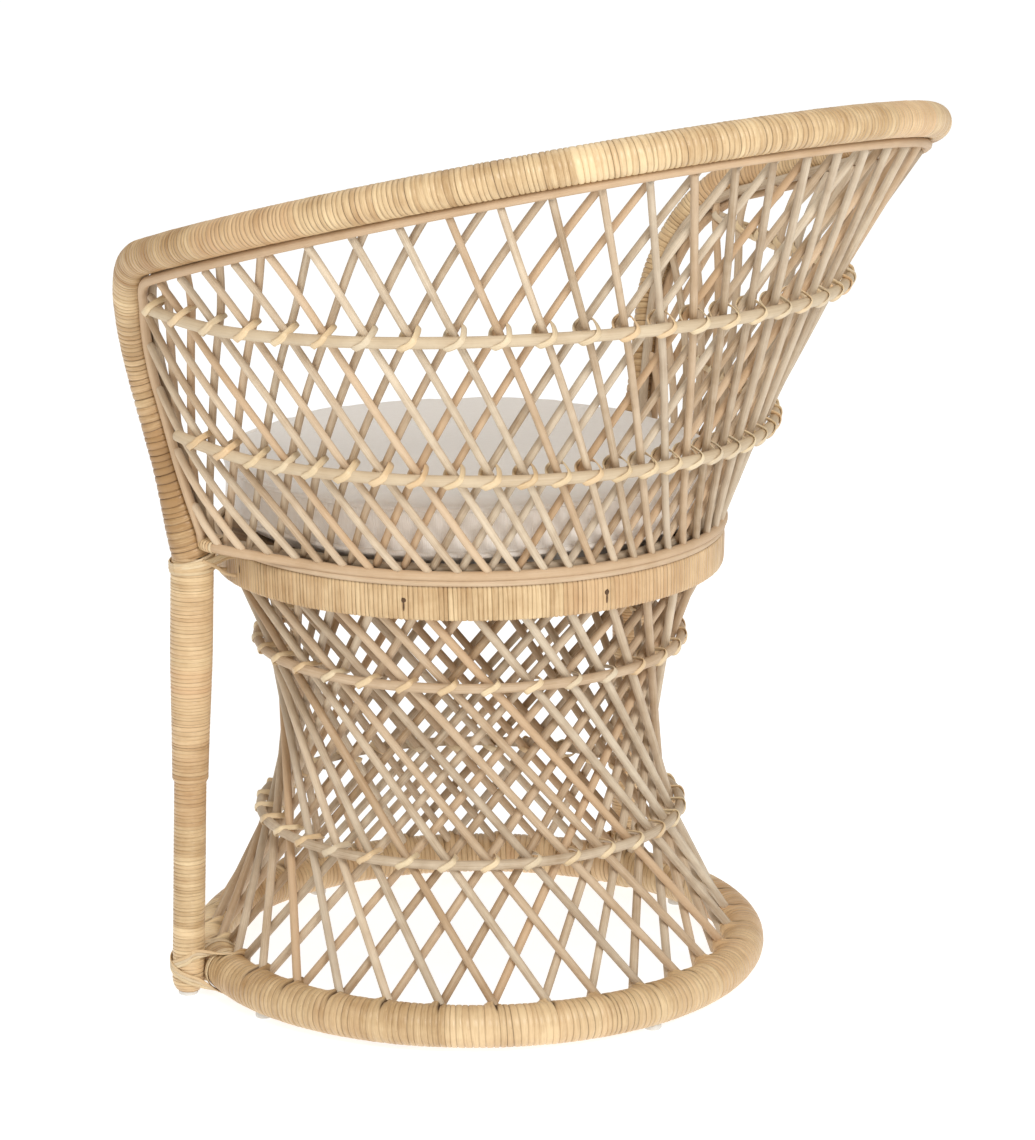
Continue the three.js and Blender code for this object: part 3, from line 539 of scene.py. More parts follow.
def panel_slopes(u, w):
    u, w, h = np.asarray(u, float), np.asarray(w, float), 0.005
    along_u = (panel_point(u + h, w) - panel_point(u - h, w)) / (2 * h)
    along_w = (panel_point(u, w + h) - panel_point(u, w - h)) / (2 * h)
    return along_u, along_w, unit(np.cross(along_w, along_u))


def panel_out(u, w):
    return panel_slopes(u, w)[2]


def nearest_on_panel(point, place):
    u, w = place
    for _ in range(SEEK_STEPS):
        along_u, along_w, _ = panel_slopes(u, w)
        miss = point - panel_point(u, w)
        uu, ww, uw = along_u @ along_u, along_w @ along_w, along_u @ along_w
        det = uu * ww - uw * uw
        u += (ww * (miss @ along_u) - uw * (miss @ along_w)) / det
        w += (uu * (miss @ along_w) - uw * (miss @ along_u)) / det
    return u, w


# Rail stations of the left half, from the post's foot to the middle of the rim
POST_STATIONS, CORNER_STATIONS, RIM_STATIONS = 14, 24, 60
RIM_START = POST_STATIONS + CORNER_STATIONS


def bezier(a, b, c, d, t):
    t = t[:, None]
    return a * (1 - t) ** 3 + 3 * b * t * (1 - t) ** 2 + 3 * c * t * t * (1 - t) + d * t**3


def rail_half():
    post_share = np.arange(POST_STATIONS) / POST_STATIONS
    post = POST_FOOT + (POST_TOP - POST_FOOT) * post_share[:, None]
    corner_share = np.arange(CORNER_STATIONS) / CORNER_STATIONS
    end = rim_point(RIM_END_ANGLE)
    pull_out = end + rim_tangent(RIM_END_ANGLE) * CORNER_PULL
    corner = bezier(POST_TOP, POST_TOP + POST_LINE * CORNER_PULL, pull_out, end, corner_share)
    angles = RIM_END_ANGLE * (1 - np.arange(RIM_STATIONS + 1) / RIM_STATIONS)
    points = np.concatenate((post, corner, rim_point(angles)))
    swell = POST_TUBE + (RIM_TUBE - POST_TUBE) * smooth(corner_share)
    tubes = np.concatenate((post_tube(post[:, 2]), swell, np.full(len(angles), RIM_TUBE)))
    return points, tubes, corner_share, angles


def rail_edges(points, tubes, corner_share, angles):
    """Middle of the two edging rods and the way out of the panel beside each station of the left rail."""
    along = tangents(points, False)
    edge, out = np.empty_like(points), np.empty_like(points)
    place = (1.0, 0.0)
    corner_inward = rim_inward(RIM_END_ANGLE)
    for i, point in enumerate(points):
        at_corner = POST_STATIONS <= i < RIM_START
        inward = POST_INWARD
        if i >= RIM_START:
            inward = rim_inward(angles[i - RIM_START])
        if at_corner:
            share = corner_share[i - POST_STATIONS]
            inward = POST_INWARD * (1 - share) + corner_inward * share
        inward = square_to(inward, along[i])
        reach = edge_reach(tubes[i])
        for _ in range(SEEK_STEPS if at_corner else 0):
            place = nearest_on_panel(point + inward * reach, place)
            normal = panel_out(*place)
            above = (point + inward * reach - panel_point(*place)) @ normal
            inward = square_to(inward - normal * above / reach, along[i])
        if i < POST_STATIONS:
            place = nearest_on_panel(point + inward * reach, place)
        edge[i] = point + inward * reach
        out[i] = unit(np.cross(inward, along[i]))
    return edge, out


def both_sides(left):
    return np.concatenate((left, left[-2::-1] * MIRROR))


half_points, half_tubes, half_share, half_angles = rail_half()
half_edge, half_out = rail_edges(half_points, half_tubes, half_share, half_angles)
rail_points = both_sides(half_points)
rail_tubes = np.concatenate((half_tubes, half_tubes[-2::-1]))
rail_edge, rail_out = both_sides(half_edge), both_sides(half_out)
RAIL = Line(rail_points, rail_out)


def leg_point(height):
    foot = vec(LEG_FOOT_REACH * math.sin(LEG_ANGLE), -LEG_FOOT_REACH * math.cos(LEG_ANGLE), BASE_RING_HEIGHT)
    share = (np.asarray(height, float) - foot[2]) / (POST_FOOT[2] - foot[2])
    return foot + (POST_FOOT - foot) * share[..., None]


# Materials
def set_inputs(tree, node, inputs):
    for key, value in inputs.items():
        if isinstance(value, bpy.types.NodeSocket):
            tree.links.new(value, node.inputs[key])
        else:
            node.inputs[key].default_value = value


def add_node(tree, kind, inputs=None, **settings):
    made = tree.nodes.new(kind)
    for name, value in settings.items():
        setattr(made, name, value)
    set_inputs(tree, made, inputs or {})
    return made


def maths(tree, operation, a, b, clamp=False):
    return add_node(tree, "ShaderNodeMath", {0: a, 1: b}, operation=operation, use_clamp=clamp).outputs[0]


def plus(tree, a, b, clamp=False):
    return maths(tree, "ADD", a, b, clamp)


def times(tree, a, b):
    return maths(tree, "MULTIPLY", a, b)


def mixed(tree, share, a, b):
    return add_node(tree, "ShaderNodeMix", {0: share, 6: a, 7: b}, data_type="RGBA").outputs[2]


def noise(tree, place, scale, detail, roughness=0.5):
    inputs = {"Vector": place, "Scale": scale, "Detail": detail, "Roughness": roughness}
    return add_node(tree, "ShaderNodeTexNoise", inputs).outputs[0]


def bumped(tree, height, strength, distance):
    inputs = {"Height": height, "Strength": strength, "Distance": distance}
    return add_node(tree, "ShaderNodeBump", inputs).outputs[0]


def new_material(name):
    material = bpy.data.materials.new(name)
    material.use_nodes = True
    tree = material.node_tree
    return material, tree, tree.nodes["Principled BSDF"]


def rgb(red, green, blue):
    """Linear colour from the 0 to 255 values seen on a screen."""
    linear = [((c / 255 + 0.055) / 1.055) ** 2.4 if c > 10 else c / 255 / 12.92 for c in (red, green, blue)]
    return (*linear, 1.0)


# Dark brown of flecks, of gaps between strips, and of painted shade on the band's top edge, beside the ring's
# tents and on the knots
GAP_AND_SHADE_BROWN = rgb(66, 41, 20)
# The deck's grey is darker than the usual cool grey: painted shade under the cushion
COOL_GREY, DECK_SHADED_GREY = rgb(204, 190, 170), rgb(150, 129, 106)
WRAP_GRAIN, ROD_GRAIN = (0.05, 1.1, 7.0), (0.022, 0.85, 7.0)
STREAK_SHARE, WARM_SHARE, COOL_SHARE, FLECK_SHARE, GAP_AND_SHADE_SHARE = 1.1, 0.75, 0.8, 0.35, 0.9
FLECK_LIMIT, ROUGH_RANGE, GAP_ROUGH = 0.74, 0.22, 0.3


def cane_material(name, colours, roughness, grain, grain_bump, cool=COOL_GREY):
    """Rattan with its grain along the strip or rod, a tone per strip, dark gaps between strips, and painted
    shade laid in with the gaps.
    colours are its dark, light and warm ones."""
    material, tree, shader = new_material(name)
    dark, light, warm = (rgb(*colour) for colour in colours)
    shade = add_node(tree, "ShaderNodeAttribute", attribute_name="shade").outputs["Vector"]
    own_tone, warmth, gap_and_shade = add_node(tree, "ShaderNodeSeparateXYZ", {0: shade}).outputs
    fibre = add_node(tree, "ShaderNodeAttribute", attribute_name="fibre").outputs["Vector"]
    stretched = add_node(tree, "ShaderNodeVectorMath", {0: fibre, 1: grain}, operation="MULTIPLY").outputs[0]
    streak = noise(tree, stretched, 1.0, 4.0, 0.65)
    blotch = noise(tree, add_node(tree, "ShaderNodeNewGeometry").outputs["Position"], 38.0, 3.0, 0.6)
    fleck = maths(tree, "GREATER_THAN", noise(tree, stretched, 2.3, 2.0), FLECK_LIMIT)
    tone = plus(tree, own_tone, times(tree, plus(tree, streak, -0.5), STREAK_SHARE))
    tone = plus(tree, tone, plus(tree, blotch, -0.5), clamp=True)
    colour = mixed(tree, tone, dark, light)
    colour = mixed(tree, times(tree, maths(tree, "MAXIMUM", warmth, 0.0), WARM_SHARE), colour, warm)
    coolness = maths(tree, "MAXIMUM", times(tree, warmth, -1.0), 0.0)
    colour = mixed(tree, times(tree, coolness, COOL_SHARE), colour, cool)
    colour = mixed(tree, times(tree, fleck, FLECK_SHARE), colour, GAP_AND_SHADE_BROWN)
    # Real gaps and painted shade both darken towards this brown
    colour = mixed(tree, times(tree, gap_and_shade, GAP_AND_SHADE_SHARE), colour, GAP_AND_SHADE_BROWN)
    rough = plus(tree, times(tree, streak, ROUGH_RANGE), roughness - ROUGH_RANGE / 2)
    rough = plus(tree, rough, times(tree, gap_and_shade, GAP_ROUGH), clamp=True)
    set_inputs(tree, shader, {"Base Color": colour, "Roughness": rough, "Specular IOR Level": 0.4,
                              "Normal": bumped(tree, streak, grain_bump, 0.0006)})
    return material


# Dark, light and warm colour of each kind of cane
WRAP_COLOURS = ((168, 131, 86), (236, 210, 166), (216, 175, 132))
ROD_COLOURS = ((155, 128, 96), (223, 207, 182), (206, 172, 134))
PALE_COLOURS = ((182, 159, 128), (218, 201, 172), (208, 184, 151))
# The deck's colours are darker than the rods': painted shade, standing in for the shadow the cushion casts on
# the deck
DECK_SHADED_COLOURS = ((120, 95, 69), (174, 147, 115), (166, 131, 95))
TIE_COLOURS = ((196, 166, 122), (236, 217, 180), (220, 184, 140))
wrap_cane = cane_material("wrapped_cane", WRAP_COLOURS, 0.34, WRAP_GRAIN, 0.25)
rod_cane = cane_material("rattan_rod", ROD_COLOURS, 0.6, ROD_GRAIN, 0.3)
pale_cane = cane_material("pale_rattan", PALE_COLOURS, 0.5, ROD_GRAIN, 0.25)
shaded_deck_cane = cane_material("shaded_deck_cane", DECK_SHADED_COLOURS, 0.7, ROD_GRAIN, 0.3, DECK_SHADED_GREY)
tie_cane = cane_material("tie_cane", TIE_COLOURS, 0.42, WRAP_GRAIN, 0.2)


def linen_material():
    """Plain-woven off-white linen: crossed threads, slubs and a soft sheen."""
    material, tree, shader = new_material("linen")
    place = add_node(tree, "ShaderNodeTexCoord").outputs["Object"]
    thread = {"Vector": place, "Scale": 250.0, "Distortion": 1.2, "Detail": 2.0}
    warp, weft = (add_node(tree, "ShaderNodeTexWave", thread, wave_type="BANDS", bands_direction=way)
                  for way in ("X", "Y"))
    weave = times(tree, warp.outputs["Fac"], weft.outputs["Fac"])
    slub = noise(tree, place, 190.0, 4.0, 0.7)
    cloud = noise(tree, place, 14.0, 3.0)
    tone = plus(tree, times(tree, weave, 0.4), times(tree, slub, 0.6), clamp=True)
    colour = mixed(tree, tone, rgb(238, 230, 220), rgb(253, 249, 243))
    colour = mixed(tree, times(tree, cloud, 0.3), colour, rgb(238, 225, 212))
    height = plus(tree, weave, times(tree, slub, 0.7))
    set_inputs(tree, shader, {"Base Color": colour, "Normal": bumped(tree, height, 0.35, 0.0005),
                              "Roughness": 0.92, "Sheen Weight": 0.25, "Sheen Roughness": 0.5,
                              "Specular IOR Level": 0.2})
    return material


def plastic_material():
    """Pale moulded plastic with fine scuffs."""
    material, tree, shader = new_material("glide_plastic")
    scuff = noise(tree, add_node(tree, "ShaderNodeNewGeometry").outputs["Position"], 320.0, 5.0, 0.7)
    set_inputs(tree, shader, {"Base Color": mixed(tree, scuff, rgb(206, 203, 196), rgb(238, 236, 231)),
                              "Roughness": plus(tree, times(tree, scuff, 0.3), 0.3),
                              "Normal": bumped(tree, scuff, 0.15, 0.0003)})
    return material


linen = linen_material()
plastic = plastic_material()

# Sides round the thin rods, the hoops, the ring and the other wrapped poles
ROD_SIDES, HOOP_SIDES, RING_SIDES, POLE_SIDES = 12, 14, 40, 32
# How far a rod bends, and how much its thickness changes along it
BASE_WOBBLE, PANEL_WOBBLE = 0.25, 0.2
BASE_UNEVEN, BASE_WAVES, HOOP_UNEVEN, HOOP_WAVES = 0.025, 9, 0.02, 0.31
# Warmth of rods and ties, and the tones of those that differ from the usual, some with their spread
WARMTH_SPREAD, WARMTH_LIMITS, LAST_NUMBER = 0.4, (-0.7, 1.0), 40
HOOP_TONE, EDGING_TONE, WAIST_TIE_TONE, BACK_TIE_TONE = (0.55, 0.05), (0.42, 0.02), (0.75, 0.1), (0.7, 0.12)
BACK_ROD_TONE, BACK_ROD_WARMTH, DECK_TONE, LOOP_TONE, SEAT_LASH_TONE = 0.56, 0.36, 0.4, 0.25, 0.45


def rod_mark(rng, tone=0.5, spread=0.2, warmth=0.22):
    """Tone, warmth and number of one rod or tie."""
    tone = float(np.clip(rng.normal(tone, spread), 0, 1))
    warmth = float(np.clip(rng.normal(warmth, WARMTH_SPREAD), *WARMTH_LIMITS))
    return tone, warmth, rng.uniform(0, LAST_NUMBER)


def wobble(points, rng, size):
    """A rod's slight bends, fading out at its ends."""
    share = np.linspace(0, 1, len(points))
    bend = np.zeros_like(points)
    for waves in (1.0, 2.0, 3.0):
        way = rng.normal(0, 1, 3) / waves
        bend += np.sin(TURN * (waves * share / 2 + rng.uniform()))[:, None] * way
    return points + bend * size * np.sin(math.pi * share)[:, None]


def uneven(radius, share, phase, rng):
    return radius * (1 + share * np.sin(phase + rng.uniform(0, 6)))


# Base rods, which start and stop a little inside the poles that hold them
BASE_ROD_STEPS, OUTER_START, INNER_STOP = 28, 4, 8


def base_rods(name, layer, low, high, number, replaced):
    pile, rng = Pile(), stream(number)
    for angle in full_turn(BASE_RODS):
        points = base_rod_points(layer, angle, np.linspace(low, high, BASE_ROD_STEPS))
        points = wobble(points, rng, BASE_WOBBLE)
        thick = uneven(BASE_ROD_RADIUS, BASE_UNEVEN, np.linspace(0, BASE_WAVES, BASE_ROD_STEPS), rng)
        tube(pile, points, thick, ROD_SIDES, heading(angle), rod_mark(rng))
    pile.piece(name, rod_cane, "rattan_rod", replaced)


base_rods("base_rods_outer", OUTER_LAYER, OUTER_FOOT + OUTER_START, OUTER_HEAD, 1, "base_ring_outer_rods")
base_rods("base_rods_inner", INNER_LAYER, INNER_FOOT, INNER_HEAD - INNER_STOP, 2, "seat_ring_inner_rods")

# Base ring wrap, parted below each outer rod and lifted beside each inner rod
BASE_RING = Line(circle_points(BASE_RING_RADIUS, BASE_RING_HEIGHT, np.zeros(3)), UP, closed=True)
WRAP_SINK, RING_STRIPS = 0.35, 9
RING_LOOK = (0.45, 0.5, 0.52, 0.2, 0.34)
# Slit below an outer rod: width, flare, middle, length, depth and dark; and the swell over the rod's end
SLIT_WIDTH, SLIT_FLARE, SLIT_DOWN, SLIT_LENGTH, SLIT_DEPTH, SLIT_DARK = 0.9, 16, 8, 20, 2.4, 1.7
SWELL_HEIGHT, SWELL_REACH = 2.0, 11
# Tent of wrap beside an inner rod: height, lengths before and after it, reach round the tube, shade
TENT_HEIGHT, TENT_BEFORE, TENT_AFTER, TENT_REACH = 6.5, 14, 4, 12
TENT_DARK, TENT_SHADE, TENT_DOWN, SHADE_DOWN = 0.9, 1.2, 2, 3
# Where a rod leaves the ring is sought between these heights above the rod's foot
OUTER_ENTRY, INNER_ENTRY, LAST_ENTRY, ENTRY_STEP = 8, 4, 60, 0.25


def ring_entries(layer, foot, first):
    """Length along the ring and angle about its tube where each rod of a layer meets the wrap."""
    entries = []
    heights = np.arange(foot + first, foot + LAST_ENTRY, ENTRY_STEP)
    for angle in full_turn(BASE_RODS):
        points = base_rod_points(layer, angle, heights)
        out, up = np.hypot(points[:, 0], points[:, 1]) - BASE_RING_RADIUS, heights - BASE_RING_HEIGHT
        at = int(np.argmax(np.hypot(out, up) > BASE_RING_TUBE))
        turn = math.atan2(points[at, 1], points[at, 0]) % TURN
        entries.append((turn / TURN * BASE_RING.length, math.atan2(out[at], up[at])))
    return np.array(entries)


outer_entries = ring_entries(OUTER_LAYER, OUTER_FOOT, OUTER_ENTRY)
inner_entries = ring_entries(INNER_LAYER, INNER_FOOT, INNER_ENTRY)


def wrapped_gap(values, period):
    return (values + period / 2) % period - period / 2


def beside_rod(s, theta, entry):
    """Millimetres along the ring and down its tube from where a rod meets the wrap."""
    down = wrapped_gap(theta - entry[1], TURN) * BASE_RING_TUBE
    return wrapped_gap(s - entry[0], BASE_RING.length), down


def ring_extra(s, theta):
    height, gap_and_shade = np.zeros_like(s), np.zeros_like(s)
    for entry in outer_entries:
        along, down = beside_rod(s, theta, entry)
        width = SLIT_WIDTH * (1 + smooth(1 - down / SLIT_FLARE))
        slit = bell(along, width) * hat(down - SLIT_DOWN, SLIT_LENGTH)
        height += SWELL_HEIGHT * hat(along, SWELL_REACH) * hat(down, SWELL_REACH) - SLIT_DEPTH * slit
        gap_and_shade += SLIT_DARK * slit
    for entry in inner_entries:
        along, down = beside_rod(s, theta, entry)
        ramp = smooth(1 + along / TENT_BEFORE) * smooth(1 - along / TENT_AFTER)
        height += TENT_HEIGHT * ramp * hat(down - TENT_DOWN, TENT_REACH)
        gap_and_shade += TENT_DARK * bell(along - TENT_AFTER, TENT_SHADE) * hat(down - SHADE_DOWN, TENT_REACH)
    return height, gap_and_shade, 0.0


def ring_marks(rng):
    """Strips of the base ring, so that a gap falls at each outer rod."""
    feet = np.sort(outer_entries[:, 0])
    marks = []
    for foot, after in zip(feet, np.roll(feet, -1)):
        room = (after - foot) % BASE_RING.length
        widths = rng.uniform(0.7, 1.3, RING_STRIPS)
        marks.extend(foot + room * np.concatenate(((0,), np.cumsum(widths)[:-1])) / widths.sum())
    return np.array([*marks, marks[0] + BASE_RING.length])


def base_ring_wrap():
    pile, rng = Pile(), stream(3)

    def place(s, theta, height):
        return BASE_RING.place(s % BASE_RING.length, theta, BASE_RING_TUBE - WRAP_SINK + height)

    marks = ring_marks(rng)
    wound(pile, place, marks, RING_SIDES, rng, RING_LOOK, TURN * BASE_RING_TUBE, True, ring_extra)
    pile.piece("base_ring_wrap", wrap_cane, "base_cane", "base_ring_outer_rods")


base_ring_wrap()

# Seat ring and band wrapped together: section as radius and height, going round from the outer face
SEAT_SECTION = np.array((
    (218.2, 377.0), (218.2, 387.0), (216.8, 390.2), (212.5, 390.6), (209.6, 388.9), (200.0, 388.6),
    (193.0, 384.5), (190.8, 376.0), (194.5, 367.5), (205.0, 363.0), (214.0, 361.8), (217.6, 363.2)))
SEAT_WRAP_SIDES, BAND_STRIP, BAND_TURN_LENGTH = 48, 4.0, 110.0
BAND_LOOK = (0.45, 0.6, 0.48, 0.1, 0.45)
# Shade along the band's top edge: how dark, from which height and over what rise
EDGE_DARK, EDGE_FROM, EDGE_RISE = 0.75, 388.6, 1.6


def seat_wrap():
    pile, rng = Pile(), stream(4)
    section = curve(SEAT_SECTION, SEAT_WRAP_SIDES)
    normal = tangents(section, True) @ np.array(((0.0, -1.0), (1.0, 0.0)))
    ladder = TURN * np.arange(SEAT_WRAP_SIDES + 1) / SEAT_WRAP_SIDES

    def at(values, theta):
        return np.interp(theta, ladder, np.append(values, values[0]))

    def place(s, theta, height):
        reach, level = (at(section[:, c], theta) + height * at(normal[:, c], theta) for c in (0, 1))
        turn = -s / SEAT_BAND_OUTER
        return SEAT_CENTRE + reach[..., None] * fan(turn, ASIDE, OUT) + level[..., None] * UP

    def edge_shade(s, theta):
        return 0.0, EDGE_DARK * smooth((at(section[:, 1], theta) - EDGE_FROM) / EDGE_RISE), 0.0

    marks = strip_marks(TURN * SEAT_BAND_OUTER, lambda s: BAND_STRIP, rng)
    wound(pile, place, marks, SEAT_WRAP_SIDES, rng, BAND_LOOK, BAND_TURN_LENGTH, True, edge_shade)
    pile.piece("seat_band_wrap", wrap_cane, "wrapped_cane", "seat_band", "seat_ring_inner_rods")


seat_wrap()

# Knots in the band, painted dark as the shade inside their holes: turn from +X in degrees, height, half width
# and half height
BAND_KNOTS = ((37, 378.0, 2.4, 2.4), (37, 373.0, 0.8, 4.6), (82, 377.5, 2.4, 2.6), (82, 372.2, 0.9, 4.4),
              (-10, 378.0, 1.0, 4.6))
KNOT_RINGS, KNOT_SIDES = ((1.0, -0.2), (0.8, 0.35), (0.45, 0.6), (0.05, 0.65)), 16
# The knots' shade value darkens them fully to dark brown: painted shade of the holes
KNOT_PAINTED_SHADE, KNOT_PROUD = (0.1, 0.2, 1.0), 0.5


def band_knots():
    """Knots as small domes a little proud of the band's face, painted dark to stand for the shade inside the
    holes.
    """
    pile, rows = Pile(), len(KNOT_RINGS)
    for turn, height, wide, tall in BAND_KNOTS:
        out = heading(math.radians(turn))
        centre = SEAT_CENTRE + out * (SEAT_BAND_OUTER + KNOT_PROUD) + UP * height
        spokes = fan(full_turn(KNOT_SIDES), np.cross(UP, out) * wide, UP * tall)
        grid = np.array([centre + spokes * share + out * lift for share, lift in KNOT_RINGS])
        pile.add(grid, grid_quads(rows, KNOT_SIDES, False), np.zeros(grid.shape),
                 np.full(grid.shape, KNOT_PAINTED_SHADE), end_caps(rows, KNOT_SIDES)[1:])
    pile.piece("seat_band_knots", wrap_cane, "wrapped_cane")


band_knots()


def hoop_rod(points, radius, aim, number, closed):
    pile, rng = Pile(), stream(number)
    thick = uneven(radius, HOOP_UNEVEN, np.arange(len(points)) * HOOP_WAVES, rng)
    tube(pile, points, thick, HOOP_SIDES, aim, rod_mark(rng, *HOOP_TONE), closed)
    return pile


# Thin rod along the top of the band, and the waist hoops
BAND_BEAD_TUBE, BAND_BEAD_RADIUS, BAND_BEAD_HEIGHT = 3.1, 216.6, 392.9
bead_points = circle_points(BAND_BEAD_RADIUS, BAND_BEAD_HEIGHT, SEAT_CENTRE)
hoop_rod(bead_points, BAND_BEAD_TUBE, UP, 5, True).piece("seat_band_bead", rod_cane, "rattan_rod")
for hoop, hoop_sign, hoop_number in (("lower", -1, 6), ("upper", 1, 7)):
    hoop_points = circle_points(WAIST_HOOP_RADIUS, WAIST_HEIGHT + hoop_sign * HOOP_RISE, SEAT_CENTRE)
    hoop_pile = hoop_rod(hoop_points, WAIST_HOOP_TUBE, UP, hoop_number, True)
    hoop_pile.piece(f"waist_hoop_rod_{hoop}", rod_cane, "rattan_rod", f"waist_hoop_{hoop}")

# Ties of split cane where the rods cross on a hoop: half length along it, climb, and how far both stray
TIE_STEPS, TIE_LIFT, TIE_THICKNESS, TIE_ROUNDING = 44, 0.4, 0.9, (1.0, 1.6, 1.6)
WAIST_TIE, BACK_TIE, TIE_SLACK = (6.8, 4.4, 0.6), (7.4, 5.0, 0.5), 1.0
WAIST_TIE_WIDTH, BACK_TIE_WIDTH = (4.8, 5.8), (5.2, 6.4)


def tie_knots(rng, size, tube_radius, outer_depth, inner_depth):
    """Slanting loop round a hoop and the two rods behind it, as knots along the hoop, outwards and up."""
    side, climb = (usual + rng.uniform(-size[2], size[2]) for usual in size[:2])
    r = tube_radius + TIE_LIFT
    back = inner_depth + BASE_ROD_RADIUS + TIE_LIFT
    there = ((0.5 * side, 0.9 * r, 0.42 * r), (0.9 * side, 0.42 * r, 0.92 * r),
             (side, -0.6 * outer_depth, climb), (0.85 * side, -inner_depth, 0.7 * climb),
             (0.3 * side, -back, 0.25 * climb))
    return [(0.0, r, 0.0), *there, *((-along, out, -up) for along, out, up in there[::-1])]


def tie(pile, knots, centre, axes, width, thickness, mark):
    local = curve(knots, TIE_STEPS)
    facing = (local - local.mean(0)) * TIE_ROUNDING
    strip(pile, centre + local @ axes, facing @ axes, width, thickness, mark)


def upright_axes(outward):
    return np.array((np.cross(UP, outward), outward, UP))


def waist_ties(name, sign, number):
    pile, rng = Pile(), stream(number)
    outer_depth = BASE_ROD_RADIUS + WAIST_HOOP_TUBE + FIT
    inner_depth = outer_depth + 2 * BASE_ROD_RADIUS + TIE_SLACK
    first = math.atan(sign * -OUTER_LEAN * HOOP_RISE / OUTER_WAIST)
    for angle in first + full_turn(BASE_RODS):
        outward = heading(angle)
        knots = tie_knots(rng, WAIST_TIE, WAIST_HOOP_TUBE, outer_depth, inner_depth)
        centre = SEAT_CENTRE + outward * WAIST_HOOP_RADIUS + UP * (WAIST_HEIGHT + sign * HOOP_RISE)
        width = rng.uniform(*WAIST_TIE_WIDTH)
        tie(pile, knots, centre, upright_axes(outward), width, TIE_THICKNESS, rod_mark(rng, *WAIST_TIE_TONE))
    pile.piece(name, tie_cane, "wrapped_cane")


waist_ties("waist_ties_lower", -1, 8)
waist_ties("waist_ties_upper", 1, 9)

# Back panel: edging rods, then the two layers of rods between them
SEAT_EDGE_STEPS, WALK_STEP = 150, 0.125
EDGE_ROOM, FEWEST_STEPS, END_DRAW, PANEL_ROD_RANGE = 3.0, 6, 0.15, (0.95, 1.05)


def edging_line(offset):
    kept = rail_edge[:, 2] > PANEL_LOW_HEIGHT + EDGING_RADIUS
    u = np.linspace(-1, 1, SEAT_EDGE_STEPS)
    out = np.concatenate((rail_out[kept], panel_out(u, np.zeros_like(u))))
    return np.concatenate((rail_edge[kept], panel_point(u, 0.0))) + out * offset, out


def spread(share):
    return share - SPREAD * np.sin(TURN * share)


def nearest(points, line):
    """Distance from each point to the closest point of a dense line, and that point's index."""
    apart = np.linalg.norm(points[:, None] - line[None], axis=-1)
    at = apart.argmin(1)
    return apart[np.arange(len(points)), at], at


def longest_run(kept):
    changes = np.flatnonzero(np.diff(np.concatenate(((0,), kept, (0,)))))
    return slice(*max(changes.reshape(-1, 2).tolist(), key=np.ptp, default=(0, 0)))


def panel_layer(name, side, number, replaced):
    pile, rng = Pile(), stream(number)
    edging, edging_out = edging_line(side * (LAYER_OFFSET + EDGING_OUT))
    tube(pile, edging, EDGING_RADIUS, ROD_SIDES, edging_out, rod_mark(rng, *EDGING_TONE), closed=True)
    dense = np.concatenate([edging + (np.roll(edging, -1, 0) - edging) * t for t in (0.0, 0.25, 0.5, 0.75)])
    w = np.arange(0, HIGH_ROW + RIM_ROWS + WALK_STEP, WALK_STEP)
    for i in range(-SIDE_RODS, PANEL_RODS + SIDE_RODS + 1):
        u = spread(-1 + 2 * i / PANEL_RODS + side * w / PANEL_RODS)
        safe = np.clip(u, -1, 1)
        out = panel_out(safe, w)
        points = panel_point(safe, w) + out * side * LAYER_OFFSET
        far_edge, _ = nearest(points, dense)
        far_rail, station = nearest(points, rail_points)
        kept = (np.abs(u) < 1) & (w < HIGH_ROW + rim_rows(safe)) & (far_edge > EDGE_ROOM)
        kept &= far_rail > rail_tubes[station] + PANEL_ROD_RADIUS
        run = longest_run(kept)
        if run.stop - run.start < FEWEST_STEPS:
            continue
        rod, aim = points[run], out[run]
        ends = (1 - END_DRAW) * rod[[0, -1]] + END_DRAW * dense[nearest(rod[[0, -1]], dense)[1]]
        rod = wobble(np.concatenate((ends[:1], rod, ends[1:])), rng, PANEL_WOBBLE)
        aim = np.concatenate((aim[:1], aim, aim[-1:]))
        thick = PANEL_ROD_RADIUS * rng.uniform(*PANEL_ROD_RANGE)
        tube(pile, rod, thick, ROD_SIDES, aim, rod_mark(rng, BACK_ROD_TONE, warmth=BACK_ROD_WARMTH))
    pile.piece(name, rod_cane, "rattan_rod", replaced)


panel_layer("back_rods_outer", 1, 10, "back_panel_outer_rods")
panel_layer("back_rods_inner", -1, 11, "back_panel_inner_rods")

# Back hoops and their ties
HOOP_STEPS = 220


def hoop_row_at(u, w):
    return w + HOOP_LIFT * smooth((np.abs(u) - LIFT_START) / (1 - LIFT_START))


def back_hoop(name, w, end, number):
    u = end * np.linspace(-1, 1, HOOP_STEPS)
    row = hoop_row_at(u, w)
    out = panel_out(u, row)
    pile = hoop_rod(panel_point(u, row) + out * HOOP_OUT, BACK_HOOP_TUBE, out, number, False)
    pile.piece(f"back_hoop_rod_{name}", pale_cane, "pale_rattan", f"back_hoop_{name}")


def panel_axes(u, w, way):
    """Axes at a place on the panel: along it one way or the other, outwards, and up it."""
    along_u, along_w, out = panel_slopes(np.float64(u), np.float64(w))
    along = way * unit(along_u)
    return np.array((along, out, square_to(along_w, along)))


